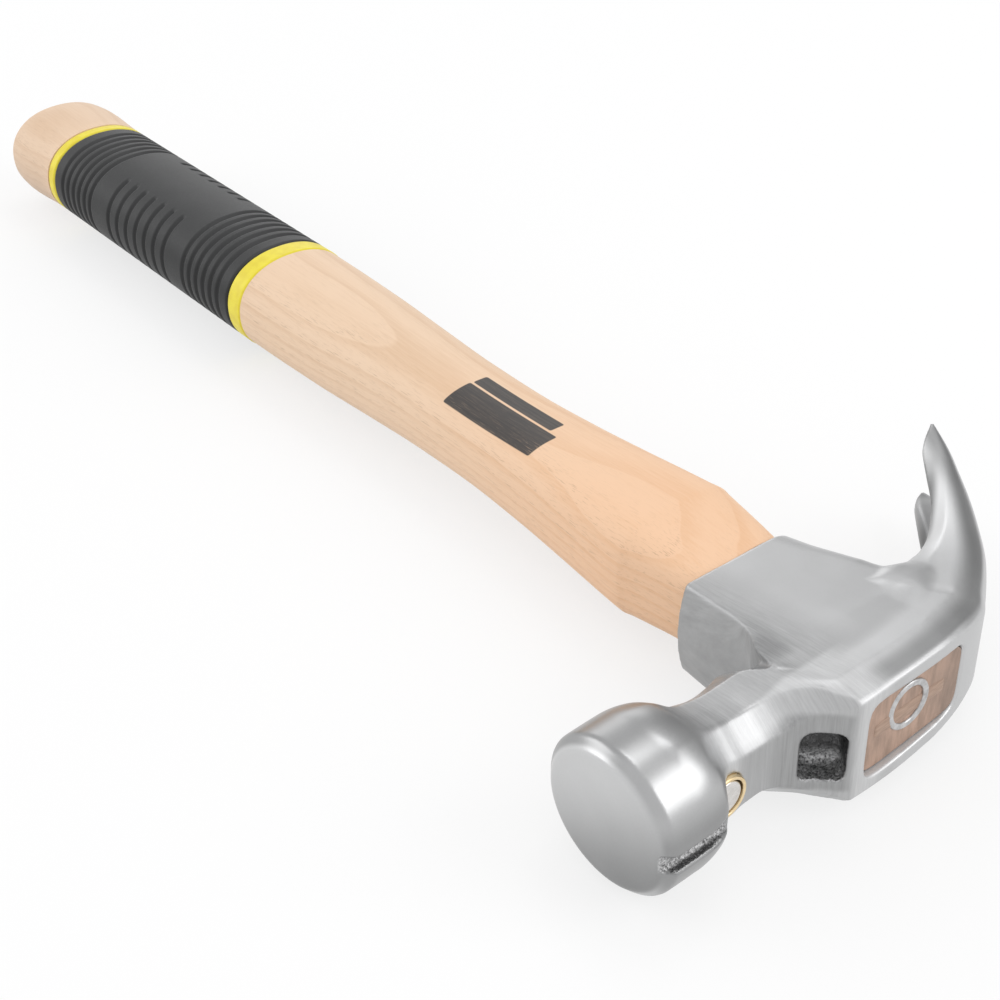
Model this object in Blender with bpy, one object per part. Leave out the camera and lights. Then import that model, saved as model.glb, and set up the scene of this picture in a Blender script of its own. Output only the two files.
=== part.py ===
"""Curved claw hammer with a wooden handle, lying on its cheek.

The hammer is modelled about the centre of its eye: +X runs to the claws, +Y down the
handle to the butt, and Z is the thickness. One empty turns the head to its hang on the
handle, and another lifts the hammer so that its lowest point is at Z = 0. The tables are
in millimetres and are scaled by MM when they are read.
"""

import math

import bmesh
import bpy

MM = 0.001

# Fit between pieces that touch
GAP = 0.3 * MM
# How far a cutter starts outside the face that it cuts
CUT_CLEAR = 3.0 * MM
ROUND_STEPS = 24
# Edges that turn more than this stay sharp in the shading
SHARP_ANGLE = math.radians(40)

# Hang: the head's own frame is turned about the eye, so the handle leans to the claw side
HANG = math.radians(2.27)
HEAD_SHIFT_X = 1.75 * MM

# Bell: the round striking end, about an axis along the head
BELL_AXIS_Y = 16.8 * MM
# x and radius along the crowned face, the rounded rim, the bell and its shoulder
BELL_RINGS = [
    (-59.0, 2.0), (-58.8, 8.0), (-58.4, 12.4), (-58.0, 13.5), (-57.3, 14.25), (-55.5, 14.5),
    (-49.5, 14.65), (-46.6, 14.4), (-44.8, 13.8), (-43.2, 12.8),
]
# Where the neck's five corners down one side meet the round, in degrees from the top, and
# how far the points of a corner spread to each side of it
BELL_CORNER_ANGLES = (22.5, 67.5, 90.0, 112.5, 157.5)
BELL_CORNER_SPREAD = 9.0

# Sections from the neck through the eye block to the claw tips. Each row has the place of
# the outer face (x, y) and its lean in degrees, then five corners down one side as depth
# below that face and half width: face edge, ridge, crown, valley and underside edge. The
# last value is the corner radius.
HEAD_SECTIONS = [
    (-40.5, 8.9, 0, (0, 5.4), (4.6, 11.0), (7.9, 11.5), (11.2, 11.0), (17.2, 5.8), 3.0),
    (-38.0, 7.9, 0, (0, 6.0), (4.4, 10.5), (8.6, 10.4), (12.4, 10.0), (17.0, 5.8), 1.6),
    (-35.0, 8.0, 0, (0, 5.4), (4.5, 9.9), (8.4, 9.8), (12.1, 9.5), (16.0, 5.4), 1.1),
    (-31.5, 8.0, 0, (0, 5.3), (4.45, 9.7), (8.4, 9.6), (12.0, 9.3), (15.7, 5.2), 1.0),
    (-28.0, 7.4, 0, (0, 5.9), (4.4, 10.1), (8.6, 10.0), (12.3, 9.7), (16.4, 5.6), 1.0),
    (-25.0, 6.35, 0, (0, 7.2), (4.1, 11.1), (8.4, 10.9), (12.6, 10.5), (17.6, 6.2), 1.0),
    (-22.0, 4.9, 0, (0, 8.7), (3.5, 11.8), (7.0, 11.8), (11.0, 11.2), (17.0, 7.0), 1.0),
    (-20.0, 2.9, 0, (0, 9.4), (3.0, 12.0), (6.5, 12.1), (11.0, 11.3), (16.8, 7.8), 1.0),
    (-18.5, 1.1, 0, (0, 9.9), (1.9, 11.5), (6.4, 12.3), (11.2, 11.3), (17.4, 8.4), 0.9),
    (-17.0, 0.0, 0, (0, 10.6), (0.9, 11.3), (6.0, 12.4), (11.8, 11.3), (18.8, 8.5), 0.8),
    (-8.0, -0.2, 0, (0, 10.9), (0.9, 11.5), (5.8, 12.3), (11.4, 11.3), (25.0, 8.5), 0.8),
    (4.0, 0.2, 1, (0, 10.5), (0.9, 11.2), (5.6, 12.1), (11.4, 11.3), (23.0, 8.5), 0.9),
    (11.0, 1.0, 9, (0, 9.9), (1.1, 10.8), (5.8, 11.9), (11.6, 11.1), (20.0, 8.0), 1.4),
    (19.2, 2.9, 26, (0, 8.8), (1.4, 9.9), (5.6, 11.6), (11.2, 10.8), (17.5, 7.4), 1.8),
    (24.2, 5.9, 33, (0, 8.4), (1.4, 9.6), (5.4, 11.3), (11.2, 10.5), (17.0, 7.2), 1.8),
    (29.1, 9.3, 38, (0, 8.2), (1.3, 9.5), (5.0, 11.0), (10.8, 10.2), (16.0, 7.0), 1.6),
    (33.9, 13.0, 42, (0, 8.0), (1.2, 9.3), (4.6, 10.7), (8.9, 9.9), (12.2, 6.9), 1.5),
    (40.2, 19.1, 46, (0, 7.8), (1.1, 9.1), (3.8, 10.3), (6.6, 9.5), (9.4, 7.0), 1.3),
    (46.6, 25.9, 48.5, (0, 7.6), (1.0, 8.9), (3.0, 9.9), (5.0, 9.2), (7.8, 7.2), 1.0),
    (52.8, 33.2, 50.5, (0, 7.4), (0.8, 8.7), (2.2, 9.6), (3.4, 9.0), (6.8, 7.3), 0.7),
    (57.5, 39.0, 52.5, (0, 7.4), (0.6, 8.5), (1.5, 9.3), (2.7, 8.8), (6.0, 7.3), 0.5),
    (60.9, 44.0, 54.5, (0, 7.4), (0.4, 8.3), (0.9, 9.1), (2.0, 8.7), (4.0, 7.4), 0.35),
    (62.6, 47.0, 56, (0, 7.5), (0.15, 8.2), (0.5, 9.0), (1.0, 8.7), (1.8, 7.6), 0.2),
]
HEAD_STEPS_BETWEEN = 1
CORNER_POINTS = 3
# The most of an edge that one rounded corner may take up
CORNER_SHARE = 0.499

# Skirt: the flat cheeks below the eye block, which taper evenly to the rim. y, then the
# poll side's edge, how far that side bulges between its edges, the claw side, and how far
# the section lies inside the cheeks' planes
CHEEK_Y = 14.0
CHEEK_HALF = 11.6
CHEEK_TAPER = 0.0842
SKIRT_SECTIONS = [
    (10.0, -16.0, -1.0, 12.0, 1.5), (13.0, -19.0, -2.0, 17.0, 0.5), (16.0, -21.0, -3.0, 19.5, 0.0),
    (20.9, -19.8, -2.2, 18.2, 0.0), (22.7, -18.5, -1.2, 17.1, 0.0), (24.6, -17.2, -0.4, 16.5, 0.0),
    (27.3, -16.2, 0.5, 16.0, 0.0), (31.0, -15.5, 1.2, 15.5, 0.0), (37.1, -15.0, 1.6, 14.8, 0.0),
    (41.6, -14.6, 1.8, 14.7, 0.0), (42.2, -14.1, 1.8, 14.2, 0.5),
]
SKIRT_CLAW_CORNER = 5.0
SKIRT_SIDE_STEPS = 8
SKIRT_ARC_STEPS = 5

# Eye: the tapered hole, from above the top face to below the rim. y, poll side, claw
# side and half thickness
EYE_SECTIONS = [(-4.0, -12.6, 13.9, 8.2), (44.0, -12.4, 10.9, 7.3)]
EYE_POWER = 7.0
EYE_NARROWING = 0.07

# Nail notch between the claws, following them: place and lean as above, then the half
# width of its walls and the depth below which they open out
NOTCH_SECTIONS = [
    (31.0, 10.7, 39.5, 0.3, 15.0), (33.9, 13.0, 42, 1.3, 11.2), (40.2, 19.1, 46, 3.0, 8.3),
    (46.6, 25.9, 48.5, 4.2, 6.4), (52.8, 33.2, 50.5, 4.8, 5.6), (57.5, 39.0, 52.5, 5.7, 5.0),
    (60.9, 44.0, 54.5, 7.3, 3.2), (62.6, 47.0, 56, 8.4, 1.2), (64.0, 49.1, 57, 9.6, 0.4),
]
NOTCH_ABOVE = 5.0
NOTCH_FLARE = (4.8, 10.0)

# Square pocket in the slope between neck and eye block
POCKET_CENTRE = (-20.1, 4.8, -1.2)
POCKET_SLOPE = 42.0
POCKET_SIZE = (7.9 * MM, 8.0 * MM, 10.6 * MM)
POCKET_CORNER = 1.6 * MM

# Nail groove along the bell, and the magnet at its end
GROOVE_WIDTH = 3.6 * MM
GROOVE_TOP_Y = -5.0 * MM
GROOVE_BOTTOM_Y = 4.6 * MM
GROOVE_Z = -0.3 * MM
GROOVE_START_X = -64.0 * MM
GROOVE_END_X = -43.2 * MM
MAGNET_X = -40.1 * MM
MAGNET_TOP_Y = 7.2 * MM
MAGNET_RADIUS = 3.3 * MM
MAGNET_RING_WALL = 0.7 * MM
MAGNET_DEPTH = 3.2 * MM

# Handle: y, then centre x, half width, half thickness and squareness of the section
TENON_TOP_Y = 1.8
SHOULDER_Y = 42.6
HANDLE_SECTIONS = [
    (42.6, -0.9, 11.8, 9.0, 5.0), (52.0, 0.0, 12.9, 10.0, 4.2), (59.0, 0.1, 14.6, 11.2, 3.7),
    (63.0, 0.0, 14.7, 11.3, 3.4), (70.0, 0.0, 14.2, 10.95, 3.3), (80.0, 0.0, 13.6, 10.5, 3.1),
    (95.0, 0.0, 12.95, 10.0, 2.75), (112.0, 0.0, 12.6, 9.7, 2.5), (130.0, 0.0, 12.9, 9.95, 2.4),
    (150.0, 0.0, 13.95, 10.75, 2.3), (170.0, 0.0, 15.05, 11.6, 2.25), (197.3, 0.0, 15.8, 12.2, 2.2),
    (306.2, 0.0, 16.4, 12.6, 2.2), (321.5, 0.0, 17.15, 13.2, 2.2), (328.0, 0.0, 16.7, 12.8, 2.2),
    (331.4, 0.0, 15.1, 11.5, 2.2), (332.7, 0.0, 12.6, 9.4, 2.2), (333.0, 0.0, 10.0, 7.2, 2.2),
]
HANDLE_POINTS = 32
HANDLE_STEPS_BETWEEN = 1
SEAT_FRONT_Y = 197.8
SEAT_REAR_Y = 305.6

# Grip: ends of the two bands and of the sleeve between them, along y
GRIP_EDGES = (198.2, 204.1, 301.4, 305.2)
GRIP_POWER = 2.2
GRIP_OUTER_FRONT = (16.0, 12.35)
GRIP_OUTER_REAR = (16.35, 12.6)
GRIP_WALL = 1.1
SEAT_STEPS = 3
GRIP_EDGE_ROUND = 0.4
# Ring grooves round each end of the sleeve: how many, the first one's y and their pitch
FRONT_GROOVES = (6, 209.0, 3.53)
REAR_GROOVES = (6, 278.9, 3.38)
GROOVE_HALF = 0.8
GROOVE_DEPTH = 0.5

# Wedges in the tenon's end
WOOD_WEDGE_CENTRE = (0.0, 0.0)
WOOD_WEDGE_HALF_LENGTH = 9.2 * MM
WOOD_WEDGE_TOP_HALF = 1.5 * MM
WOOD_WEDGE_TIP_HALF = 0.45 * MM
WOOD_WEDGE_DEPTH = 24 * MM
RING_WEDGE_CENTRE = (-0.7, 1.3)
RING_WEDGE_RADIUS = 5.1 * MM
RING_WEDGE_WALL = 1.1 * MM
RING_WEDGE_DEPTH = 9 * MM
RING_WEDGE_PROUD = 0.2 * MM

# Cutters that belong to the handle's frame, not to the head's
HANDLE_CUTTERS = ("eye_cutter", "kerf_cutter", "ring_hole_cutter", "ring_slot_cutter")

# The frame's origin, from the hammer's own, so that the box stands centred on Z = 0
FRAME_ORIGIN = (-2.13 * MM, -166.163 * MM, 14.65 * MM)

STEEL = ((0.56, 0.57, 0.58), 0.32, 1.0)
WOOD = ((0.72, 0.52, 0.34), 0.6, 0.0)
WEDGE_WOOD = ((0.42, 0.25, 0.15), 0.7, 0.0)
MAGNET_METAL = ((0.62, 0.61, 0.58), 0.3, 1.0)
BRASS = ((0.75, 0.58, 0.25), 0.3, 1.0)
RUBBER = ((0.035, 0.038, 0.04), 0.75, 0.0)
YELLOW = ((0.80, 0.70, 0.03), 0.5, 0.0)


def clear_scene():
    for old in list(bpy.data.objects):
        bpy.data.objects.remove(old, do_unlink=True)


def new_collection(name):
    collection = bpy.data.collections.new(name)
    bpy.context.scene.collection.children.link(collection)
    return collection


def material(name, finish):
    colour, roughness, metallic = finish
    made = bpy.data.materials.new(name)
    made.use_nodes = True
    shader = made.node_tree.nodes["Principled BSDF"]
    shader.inputs["Base Color"].default_value = (*colour, 1.0)
    shader.inputs["Roughness"].default_value = roughness
    shader.inputs["Metallic"].default_value = metallic
    return made


def mesh_object(name, bm, collection):
    """Turn a bmesh into a named object, its normals outward and its round faces smooth."""
    bmesh.ops.recalc_face_normals(bm, faces=bm.faces)
    mesh = bpy.data.meshes.new(name)
    bm.to_mesh(mesh)
    bm.free()
    mesh.shade_smooth()
    mesh.set_sharp_from_angle(angle=SHARP_ANGLE)
    made = bpy.data.objects.new(name, mesh)
    collection.objects.link(made)
    return made


def loft(name, loops, collection, closed=False):
    """Skin a run of loops of equal count, with flat ends, or back round to the first."""
    bm = bmesh.new()
    rings = [[bm.verts.new(point) for point in loop] for loop in loops]
    pairs = list(zip(rings, rings[1:]))
    if closed:
        pairs.append((rings[-1], rings[0]))
    else:
        bm.faces.new(rings[0])
        bm.faces.new(rings[-1])
    for first, second in pairs:
        for i in range(len(first)):
            bm.faces.new((first[i - 1], first[i], second[i], second[i - 1]))
    return mesh_object(name, bm, collection)


def monotone_slopes(places, values):
    """Slopes of a smooth curve through the values that never overshoots them."""
    steps = [b - a for a, b in zip(places, places[1:])]
    rises = [(b - a) / step for a, b, step in zip(values, values[1:], steps)]
    slopes = [rises[0]]
    for i in range(1, len(rises)):
        before, after = rises[i - 1], rises[i]
        if before * after <= 0:
            slopes.append(0.0)
        else:
            slopes.append(2 * before * after / (before + after))
    slopes.append(rises[-1])
    return slopes


def smooth_rows(rows, places, steps_between):
    """Rows of numbers, with more rows put smoothly between them."""
    columns = list(zip(*rows))
    slopes = [monotone_slopes(places, column) for column in columns]
    finer = []
    for i in range(len(rows) - 1):
        width = places[i + 1] - places[i]
        for step in range(steps_between + 1):
            t = step / (steps_between + 1)
            start = (1 + 2 * t) * (1 - t) ** 2
            end = t * t * (3 - 2 * t)
            leave = t * (1 - t) ** 2 * width
            arrive = t * t * (t - 1) * width
            finer.append([
                start * column[i] + end * column[i + 1] + leave * slope[i] + arrive * slope[i + 1]
                for column, slope in zip(columns, slopes)
            ])
    finer.append(list(rows[-1]))
    return finer


def rounded_outline(corners, radius, count):
    """A closed outline with an arc of count points in place of each corner."""
    outline = []
    for i, corner in enumerate(corners):
        before = corners[i - 1]
        after = corners[(i + 1) % len(corners)]
        back = (before[0] - corner[0], before[1] - corner[1])
        ahead = (after[0] - corner[0], after[1] - corner[1])
        back_length = math.hypot(*back)
        ahead_length = math.hypot(*ahead)
        back = (back[0] / back_length, back[1] / back_length)
        ahead = (ahead[0] / ahead_length, ahead[1] / ahead_length)
        cosine = max(-1.0, min(1.0, back[0] * ahead[0] + back[1] * ahead[1]))
        half = math.acos(cosine) / 2
        reach = min(radius / math.tan(half), CORNER_SHARE * min(back_length, ahead_length))
        for step in range(count):
            t = step / (count - 1)
            # A quadratic curve from one tangent point to the other
            outline.append((
                corner[0] + reach * ((1 - t) ** 2 * back[0] + t * t * ahead[0]),
                corner[1] + reach * ((1 - t) ** 2 * back[1] + t * t * ahead[1]),
            ))
    return outline


def head_loop(row):
    """One section of the head: ten corners, rounded, set at its place and lean."""
    x, y, lean, *depths, radius = row
    side = [(depths[i], depths[i + 1]) for i in range(0, len(depths), 2)]
    corners = side + [(depth, -half) for depth, half in reversed(side)]
    across = math.sin(math.radians(lean))
    down = math.cos(math.radians(lean))
    return [
        ((x - depth * across) * MM, (y + depth * down) * MM, z * MM)
        for depth, z in rounded_outline(corners, radius, CORNER_POINTS)
    ]


def bell_loop(x, radius):
    """A circle with as many points as a section of the head, matched corner to corner."""
    points = []
    angles = list(BELL_CORNER_ANGLES) + [360 - angle for angle in reversed(BELL_CORNER_ANGLES)]
    for angle in angles:
        for step in range(CORNER_POINTS):
            turn = math.radians(angle + BELL_CORNER_SPREAD * (step / (CORNER_POINTS - 1) * 2 - 1))
            points.append((
                x * MM,
                BELL_AXIS_Y - radius * MM * math.cos(turn),
                radius * MM * math.sin(turn),
            ))
    return points


def head_loops():
    rows = []
    for x, y, lean, *corners, radius in HEAD_SECTIONS:
        rows.append([x, y, lean, *[value for corner in corners for value in corner], radius])
    places = [0.0]
    for first, second in zip(rows, rows[1:]):
        places.append(places[-1] + math.hypot(second[0] - first[0], second[1] - first[1]))
    loops = [bell_loop(x, radius) for x, radius in BELL_RINGS]
    loops += [head_loop(row) for row in smooth_rows(rows, places, HEAD_STEPS_BETWEEN)]
    return loops


def skirt_loop(y, poll, bulge, claw, inset):
    """A skirt section: a bulged poll side, flat cheeks and round claw-side corners."""
    points = []
    half = CHEEK_HALF - CHEEK_TAPER * (y - CHEEK_Y) - inset
    for step in range(SKIRT_SIDE_STEPS + 1):
        share = 1 - 2 * step / SKIRT_SIDE_STEPS
        points.append((poll - bulge * (1 - share * share), y, half * share))
    corner = SKIRT_CLAW_CORNER
    for sign in (-1, 1):
        for step in range(SKIRT_ARC_STEPS + 1):
            turn = math.radians(90 * (step / SKIRT_ARC_STEPS if sign > 0 else 1 - step / SKIRT_ARC_STEPS))
            points.append((
                claw - corner + corner * math.cos(turn),
                y,
                sign * (half - corner + corner * math.sin(turn)),
            ))
    return points


def oval_loop(y, centre, half_width, half_thickness, power):
    """A section across the handle, from an oval at power 2 to a near rectangle at 7."""
    points = []
    for i in range(HANDLE_POINTS):
        turn = 2 * math.pi * (i + 0.5) / HANDLE_POINTS
        across = math.copysign(abs(math.cos(turn)) ** (2 / power), math.cos(turn))
        up = math.copysign(abs(math.sin(turn)) ** (2 / power), math.sin(turn))
        points.append((centre + half_width * across, y, half_thickness * up))
    return points


def in_metres(loop):
    return [(x * MM, y * MM, z * MM) for x, y, z in loop]


def eye_at(y):
    """Centre, half width and half thickness of the eye at a height."""
    (y0, poll0, claw0, half0), (y1, poll1, claw1, half1) = EYE_SECTIONS
    t = (y - y0) / (y1 - y0)
    poll = poll0 + t * (poll1 - poll0)
    claw = claw0 + t * (claw1 - claw0)
    return (poll + claw) / 2, (claw - poll) / 2, half0 + t * (half1 - half0)


def eye_loop(y, clearance):
    """The eye at a height, or with clearance the tenon in it; it narrows to the claw side."""
    centre, half_width, half_thickness = eye_at(y)
    loop = oval_loop(
        y, centre, half_width - clearance, half_thickness - clearance, EYE_POWER)
    return [
        (x, y, z * (1 - EYE_NARROWING * (x - centre) / half_width)) for x, y, z in loop
    ]


def square_to_head(loop):
    """The loop turned by the hang, so that it lies along the head's top face and rim."""
    return [(x, y + x * math.tan(HANG), z) for x, y, z in loop]


def add_cutter(made):
    made.hide_render = True
    made.display_type = "WIRE"
    return made


def boolean(target, tool, operation):
    change = target.modifiers.new(f"{operation.lower()}_{tool.name}", "BOOLEAN")
    change.operation = operation
    change.solver = "EXACT"
    change.object = tool


def box_cutter(name, size, centre, tilt, corner, collection):
    """A box with rounded upright edges, turned about Z by tilt."""
    bm = bmesh.new()
    bmesh.ops.create_cube(bm, size=1.0)
    bmesh.ops.scale(bm, vec=size, verts=bm.verts)
    if corner:
        upright = [
            edge for edge in bm.edges
            if abs(edge.verts[0].co.y - edge.verts[1].co.y) > size[1] / 2
        ]
        bmesh.ops.bevel(bm, geom=upright, offset=corner, segments=3, profile=0.5, affect="EDGES")
    made = mesh_object(name, bm, collection)
    made.location = centre
    made.rotation_euler = (0, 0, tilt)
    return add_cutter(made)


def cylinder_along_y(name, radius, start_y, end_y, x, z, collection):
    bm = bmesh.new()
    bmesh.ops.create_cone(
        bm, cap_ends=True, segments=ROUND_STEPS, radius1=radius, radius2=radius, depth=end_y - start_y)
    made = mesh_object(name, bm, collection)
    made.location = (x, (start_y + end_y) / 2, z)
    made.rotation_euler = (math.pi / 2, 0, 0)
    return made


def tube_along_y(name, outer, inner, start_y, end_y, x, z, collection):
    """A plain ring: a closed loft of two circles outside and two inside."""
    loops = []
    for radius, y in ((outer, start_y), (outer, end_y), (inner, end_y), (inner, start_y)):
        loops.append([
            (x + radius * math.cos(2 * math.pi * i / ROUND_STEPS), y,
             z + radius * math.sin(2 * math.pi * i / ROUND_STEPS))
            for i in range(ROUND_STEPS)
        ])
    return loft(name, loops, collection, closed=True)


def make_head(parts, cutters):
    head = loft("head", head_loops(), parts)
    skirt_loops = [in_metres(skirt_loop(*row)) for row in SKIRT_SECTIONS]
    skirt = add_cutter(loft("skirt_form", skirt_loops, cutters))
    boolean(head, skirt, "UNION")

    eye_loops = [in_metres(eye_loop(row[0], 0.0)) for row in EYE_SECTIONS]
    boolean(head, add_cutter(loft("eye_cutter", eye_loops, cutters)), "DIFFERENCE")

    boolean(head, notch_cutter(cutters), "DIFFERENCE")
    pocket_place = tuple(value * MM for value in POCKET_CENTRE)
    pocket = box_cutter(
        "pocket_cutter", POCKET_SIZE, pocket_place, -math.radians(POCKET_SLOPE), POCKET_CORNER, cutters)
    boolean(head, pocket, "DIFFERENCE")

    groove_size = (GROOVE_END_X - GROOVE_START_X, GROOVE_BOTTOM_Y - GROOVE_TOP_Y, GROOVE_WIDTH)
    groove_place = (
        (GROOVE_START_X + GROOVE_END_X) / 2, (GROOVE_TOP_Y + GROOVE_BOTTOM_Y) / 2, GROOVE_Z)
    boolean(head, box_cutter("groove_cutter", groove_size, groove_place, 0, 0, cutters), "DIFFERENCE")

    bore_radius = MAGNET_RADIUS + GAP + MAGNET_RING_WALL + GAP
    bore = cylinder_along_y(
        "magnet_bore_cutter", bore_radius, GROOVE_TOP_Y, MAGNET_TOP_Y + MAGNET_DEPTH + GAP,
        MAGNET_X, GROOVE_Z, cutters)
    boolean(head, add_cutter(bore), "DIFFERENCE")
    return head


def notch_cutter(cutters):
    """The nail notch: straight walls, then a wide bevel where they meet the inner side."""
    loops = []
    for x, y, lean, half, wall in NOTCH_SECTIONS:
        across = math.sin(math.radians(lean))
        down = math.cos(math.radians(lean))
        side = [(-NOTCH_ABOVE, half), (wall, half), (wall + NOTCH_FLARE[0], half + NOTCH_FLARE[1])]
        outline = side + [(depth, -z) for depth, z in reversed(side)]
        loops.append([
            ((x - depth * across) * MM, (y + depth * down) * MM, z * MM) for depth, z in outline
        ])
    return add_cutter(loft("notch_cutter", loops, cutters))


def make_handle(parts, cutters):
    gap = GAP / MM
    loops = []
    for y in (TENON_TOP_Y, SHOULDER_Y):
        loops.append(square_to_head(eye_loop(y, gap)))
    places = [row[0] for row in HANDLE_SECTIONS]
    for y, *section in smooth_rows(HANDLE_SECTIONS, places, HANDLE_STEPS_BETWEEN):
        loop = oval_loop(y, *section)
        loops.append(square_to_head(loop) if y == SHOULDER_Y else loop)
    front = next(i for i, loop in enumerate(loops) if loop[0][1] > SEAT_FRONT_Y)
    kept = [loop for loop in loops if not SEAT_FRONT_Y < loop[0][1] < SEAT_REAR_Y]
    seat = []
    for step in range(SEAT_STEPS + 1):
        y = SEAT_FRONT_Y + (SEAT_REAR_Y - SEAT_FRONT_Y) * step / SEAT_STEPS
        seat.append(oval_loop(y, 0.0, *seat_at(y), GRIP_POWER))
    kept[front:front] = seat
    handle = loft("handle", [in_metres(loop) for loop in kept], parts)

    boolean(handle, wedge_form("kerf_cutter", GAP, cutters), "DIFFERENCE")
    ring_hole = tube_along_y(
        "ring_hole_cutter", RING_WEDGE_RADIUS + GAP, RING_WEDGE_RADIUS - RING_WEDGE_WALL - GAP,
        0.0, TENON_TOP_Y * MM + RING_WEDGE_DEPTH + GAP,
        RING_WEDGE_CENTRE[0] * MM, RING_WEDGE_CENTRE[1] * MM, cutters)
    boolean(handle, add_cutter(ring_hole), "DIFFERENCE")
    return handle


def grip_outer_at(y):
    t = (y - GRIP_EDGES[0]) / (GRIP_EDGES[3] - GRIP_EDGES[0])
    return [a + t * (b - a) for a, b in zip(GRIP_OUTER_FRONT, GRIP_OUTER_REAR)]


def seat_at(y):
    return [half - GRIP_WALL - GAP / MM for half in grip_outer_at(y)]


def wedge_form(name, clearance, collection):
    """The wooden wedge, or with clearance the kerf that it is driven into."""
    x, z = WOOD_WEDGE_CENTRE
    top_y = TENON_TOP_Y * MM
    sections = [
        (top_y, WOOD_WEDGE_TOP_HALF),
        (top_y + WOOD_WEDGE_DEPTH + clearance, WOOD_WEDGE_TIP_HALF),
    ]
    if clearance:
        sections.insert(0, (top_y - CUT_CLEAR, WOOD_WEDGE_TOP_HALF))
    reach = WOOD_WEDGE_HALF_LENGTH + clearance
    loops = []
    for y, half in sections:
        rise = half + clearance
        loops.append([
            (x * MM + sx * reach, y, z * MM + sz * rise)
            for sx, sz in ((-1, -1), (1, -1), (1, 1), (-1, 1))
        ])
    made = loft(name, loops, collection)
    return add_cutter(made) if clearance else made


def make_wedges(parts, cutters):
    wedge = wedge_form("wooden_wedge", 0.0, parts)
    hole = tube_along_y(
        "ring_slot_cutter", RING_WEDGE_RADIUS + GAP, RING_WEDGE_RADIUS - RING_WEDGE_WALL - GAP,
        0.0, TENON_TOP_Y * MM + RING_WEDGE_DEPTH + GAP,
        RING_WEDGE_CENTRE[0] * MM, RING_WEDGE_CENTRE[1] * MM, cutters)
    boolean(wedge, add_cutter(hole), "DIFFERENCE")
    ring = tube_along_y(
        "ring_wedge", RING_WEDGE_RADIUS, RING_WEDGE_RADIUS - RING_WEDGE_WALL,
        TENON_TOP_Y * MM - RING_WEDGE_PROUD, TENON_TOP_Y * MM + RING_WEDGE_DEPTH,
        RING_WEDGE_CENTRE[0] * MM, RING_WEDGE_CENTRE[1] * MM, parts)
    return wedge, ring


def make_magnet(parts):
    end = MAGNET_TOP_Y + MAGNET_DEPTH
    magnet = cylinder_along_y("magnet", MAGNET_RADIUS, MAGNET_TOP_Y, end, MAGNET_X, GROOVE_Z, parts)
    inner = MAGNET_RADIUS + GAP
    ring = tube_along_y(
        "magnet_ring", inner + MAGNET_RING_WALL, inner, MAGNET_TOP_Y, end, MAGNET_X, GROOVE_Z, parts)
    return magnet, ring


def grip_ring(name, start, end, grooves, parts):
    """A sleeve between two places on the handle, with ring grooves round its outside."""
    profile = [(start, -GRIP_EDGE_ROUND), (start + GRIP_EDGE_ROUND, 0.0)]
    for count, first, pitch in grooves:
        for i in range(count):
            middle = first + i * pitch
            profile += [(middle - GROOVE_HALF, 0.0), (middle, -GROOVE_DEPTH), (middle + GROOVE_HALF, 0.0)]
    profile += [(end - GRIP_EDGE_ROUND, 0.0), (end, -GRIP_EDGE_ROUND)]
    loops = []
    for y, offset in profile:
        half_width, half_thickness = grip_outer_at(y)
        loops.append(oval_loop(y, 0.0, half_width + offset, half_thickness + offset, GRIP_POWER))
    for y in (end, start):
        half_width, half_thickness = grip_outer_at(y)
        loops.append(oval_loop(y, 0.0, half_width - GRIP_WALL, half_thickness - GRIP_WALL, GRIP_POWER))
    return loft(name, [in_metres(loop) for loop in loops], parts, closed=True)


def make_grip(parts):
    gap = GAP / MM / 2
    front, sleeve_start, sleeve_end, rear = GRIP_EDGES
    front_band = grip_ring("grip_front_band", front, sleeve_start - gap, [], parts)
    sleeve = grip_ring(
        "grip_sleeve", sleeve_start + gap, sleeve_end - gap, [FRONT_GROOVES, REAR_GROOVES], parts)
    rear_band = grip_ring("grip_rear_band", sleeve_end + gap, rear, [], parts)
    return front_band, sleeve, rear_band


def main():
    clear_scene()
    parts = new_collection("curved_claw_hammer")
    cutters = new_collection("cutters")
    stand = bpy.data.objects.new("hammer_frame", None)
    parts.objects.link(stand)
    head_frame = bpy.data.objects.new("head_frame", None)
    parts.objects.link(head_frame)

    head = make_head(parts, cutters)
    handle = make_handle(parts, cutters)
    wedge, ring = make_wedges(parts, cutters)
    magnet, magnet_ring = make_magnet(parts)
    front_band, sleeve, rear_band = make_grip(parts)

    finishes = (
        (head, "head_steel", STEEL), (handle, "handle_wood", WOOD), (wedge, "wedge_wood", WEDGE_WOOD),
        (ring, "ring_steel", STEEL), (magnet, "magnet_metal", MAGNET_METAL),
        (magnet_ring, "ring_brass", BRASS), (sleeve, "grip_rubber", RUBBER),
        (front_band, "front_band_yellow", YELLOW), (rear_band, "rear_band_yellow", YELLOW),
    )
    for made, name, finish in finishes:
        made.data.materials.append(material(name, finish))

    handle_side = {handle, wedge, ring, front_band, sleeve, rear_band}
    handle_side |= {cutters.objects[name] for name in HANDLE_CUTTERS}
    for made in list(parts.objects) + list(cutters.objects):
        if made not in (stand, head_frame):
            made.parent = stand if made in handle_side else head_frame
    head_frame.parent = stand
    head_frame.location = (HEAD_SHIFT_X, 0, 0)
    head_frame.rotation_euler = (0, 0, HANG)
    stand.location = FRAME_ORIGIN


main()
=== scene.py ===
# %% [markdown]
# # A curved claw hammer with a wooden handle
#
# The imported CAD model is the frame: its solids are the right size and stand in the right
# place. This lesson gives them their looks. The head is made again as one smooth forging,
# the handle as a fine loft with a wood finish, and the grip with its moulded grooves.
# Everything is in metres, in the CAD frame: +X to the claws, +Y to the butt, +Z up.

# %% Load the frame
import math

import bmesh
import bpy
import numpy as np
from mathutils import Matrix, Vector


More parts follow.
